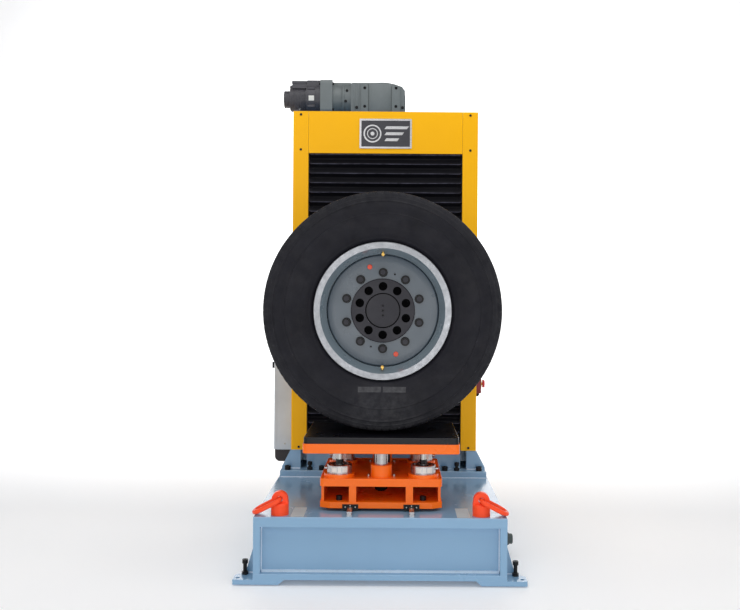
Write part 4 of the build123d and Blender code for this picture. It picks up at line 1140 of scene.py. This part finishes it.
def cabinet_details():
    """Louvres and a blank plate on the door, hinge caps, escutcheon and front screws."""
    bm = bmesh.new()
    for row in range(7):
        z = 0.470 + row * 0.022
        outline = (
            (door_low.x + 0.0005, z), (door_low.x - 0.006, z + 0.002),
            (door_low.x - 0.0066, z + 0.0045), (door_low.x + 0.0005, z + 0.014),
        )
        extrude_outline(bm, [(x, 0.350, height) for x, height in outline], (0, 0.150, 0))
    make_piece("door_louvres", bm, "cabinet", "door")

    bm = bmesh.new()
    for side_z in (0.480, 1.020):
        for way in SIDES:
            turned(
                bm,
                ((0, 0), (0, 0.0056), (0.0022, 0.0056), (0.0036, 0.0036), (0.0038, 0)),
                (-0.566, 0.582, side_z + way * 0.0335),
                (0, 0, way),
                28,
                closed=False,
            )
    make_piece("hinge_pin_caps", bm, "zinc", "root")

    bm = bmesh.new()
    turned(
        bm,
        ((0, 0.0145), (0, 0.0195), (0.0012, 0.0195), (0.0022, 0.0185), (0.0022, 0.0145)),
        (door_low.x + 0.0002, 0.309, 0.812),
        (-1, 0, 0),
        48,
    )
    flat_label(bm, (door_low.x, 0.500, 0.960), (0, -0.110, 0), (0, 0, 0.070), (-1, 0, 0), 0.0012)
    make_piece("door_escutcheon_and_blank_plate", bm, "plate_silver", "door")

    bm = bmesh.new()
    for z in (cab_low.z + 0.03, (cab_low.z + cab_high.z) / 2, cab_high.z - 0.03):
        pan_head(bm, ((cab_low.x + cab_high.x) / 2, cab_low.y + 0.0003, z), (0, -1, 0), 0.005, 0.0026)
    make_piece("cabinet_front_screws", bm, "zinc", "root")


stop_low, stop_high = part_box("estop_box")
stop_mid = (stop_low + stop_high) / 2


def stop_station_details():
    bm = bmesh.new()
    turned(
        bm,
        ((0, 0.0205), (0, 0.0265), (0.0018, 0.0265), (0.0026, 0.0255), (0.0026, 0.0205)),
        (0.5005, stop_mid.y, stop_mid.z),
        (1, 0, 0),
        48,
    )
    make_piece("stop_collar", bm, "yellow", "root")
    bm = bmesh.new()
    for y in (-0.032, 0.032):
        for z in (-0.038, 0.038):
            pan_head(bm, (0.4995, stop_mid.y + y, stop_mid.z + z), (1, 0, 0), 0.0035, 0.002)
    turned(
        bm,
        (
            (0, 0), (0, 0.0115), (0.005, 0.0115), (0.005, hex_radius(0.020)), (0.013, hex_radius(0.020)),
            (0.016, 0.008), (0.020, 0.0072), (0.020, 0),
        ),
        (0.482, stop_mid.y, stop_low.z + 0.0005),
        (0, 0, -1),
        24,
        closed=False,
    )
    make_piece("stop_box_screws_and_gland", bm, "black", "root")


inlet_low, inlet_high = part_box("power_inlet")
inlet_mid = (inlet_low + inlet_high) / 2


def inlet_details():
    """Grip ribs round the inlet cap, its flange ring and four screws."""
    bm = bmesh.new()
    for step in range(20):
        turn = 2 * math.pi * step / 20
        y, z = math.cos(turn), math.sin(turn)
        centre = Vector((0, inlet_mid.y + 0.0272 * y, inlet_mid.z + 0.0272 * z))
        low = (0.549, centre.y - 0.0016, centre.z - 0.0016)
        high = (0.5745, centre.y + 0.0016, centre.z + 0.0016)
        block(bm, low, high, 0.0006, 1)
    turned(
        bm,
        (
            (0.538, 0.026), (0.538, 0.0305), (0.5395, 0.0315), (0.5425, 0.0315),
            (0.544, 0.0305), (0.544, 0.026),
        ),
        (0, inlet_mid.y, inlet_mid.z),
        (1, 0, 0),
        56,
    )
    make_piece("inlet_cap_ribs", bm, "inlet", "root")
    bm = bmesh.new()
    for y in (-0.028, 0.028):
        for z in (-0.025, 0.025):
            pan_head(bm, (0.5245, inlet_mid.y + y, inlet_mid.z + z), (1, 0, 0), 0.004, 0.002)
    make_piece("inlet_screws", bm, "zinc", "root")


cabinet_details()
stop_station_details()
inlet_details()


# ---------------------------------------------------------------- floor, lights and camera
def studio_floor():
    """A pale floor that curves up far behind the machine."""
    mesh = bpy.data.meshes.new("studio_floor")
    bm = bmesh.new()
    half, front, back, radius, steps = 14.0, -12.0, 5.0, 2.5, 16
    rows = [(front, 0.0)]
    for step in range(steps + 1):
        turn = math.pi / 2 * step / steps
        rows.append((back + radius * math.sin(turn), radius - radius * math.cos(turn)))
    rows.append((back + radius, 9.0))
    edge = [[bm.verts.new((x, y, z)) for x in (-half, half)] for y, z in rows]
    for near, far in zip(edge, edge[1:]):
        bm.faces.new((near[0], near[1], far[1], far[0]))
    bm.to_mesh(mesh)
    bm.free()
    mesh.shade_smooth()
    t = Tree("floor_paint")
    t.link(
        t.mix(t.spread(t.noise(1.2, 5), 0.3, 0.7), srgb(244, 245, 247), srgb(249, 249, 250)),
        t.shader.inputs["Base Color"],
    )
    t.set(Roughness=0.6, Specular_IOR_Level=0.3, Emission_Color=(1.0, 1.0, 1.0, 1.0), Emission_Strength=0.1)
    t.bump([(t.noise(300, 3), 0.0002, 0.2)])
    mesh.materials.append(t.material)
    floor = bpy.data.objects.new("studio_floor", mesh)
    bpy.context.scene.collection.objects.link(floor)


def soft_light(name, place, target, size, power, tint=(1.0, 1.0, 1.0)):
    lamp = bpy.data.lights.new(name, "AREA")
    lamp.shape = "RECTANGLE"
    lamp.size, lamp.size_y = size
    lamp.energy = power
    lamp.color = tint
    light = bpy.data.objects.new(name, lamp)
    light.location = place
    light.rotation_euler = (Vector(target) - Vector(place)).to_track_quat("-Z", "Y").to_euler()
    bpy.context.scene.collection.objects.link(light)


studio_floor()
soft_light("ceiling_softbox", (0.3, -1.6, 4.6), (0, -0.2, 0.9), (4.0, 3.0), 70)
soft_light("front_softbox", (-1.6, -5.2, 3.0), (0, 0, 1.0), (3.0, 2.4), 36)
soft_light("low_front_softbox", (0.5, -4.7, 0.9), (0, 0, 0.6), (3.2, 1.2), 34)
soft_light("right_softbox", (4.2, -1.2, 2.4), (0, 0, 1.1), (2.4, 2.4), 26)
soft_light("cove_softbox", (0.0, 3.0, 4.2), (0.0, 7.0, 1.8), (7.0, 2.0), 420)
soft_light("left_softbox", (-4.2, -0.8, 2.2), (0, 0, 1.1), (2.4, 2.4), 24)

scene = bpy.context.scene
world = bpy.data.worlds.new("studio_world")
world.use_nodes = True
world.node_tree.nodes["Background"].inputs["Color"].default_value = (1.0, 1.0, 1.0, 1.0)
world.node_tree.nodes["Background"].inputs["Strength"].default_value = 0.32
scene.world = world
scene.view_settings.view_transform = "Standard"

view = bpy.data.cameras.new("front_view")
view.lens = 41.84
view.sensor_width = 36
view.shift_x = -0.0351
view.shift_y = -0.0176
view.dof.use_dof = False
camera = bpy.data.objects.new("front_view", view)
camera.location = (0.057, -4.193, 1.198)
camera.rotation_euler = (math.pi / 2, -0.007, 0)
scene.collection.objects.link(camera)
scene.camera = camera
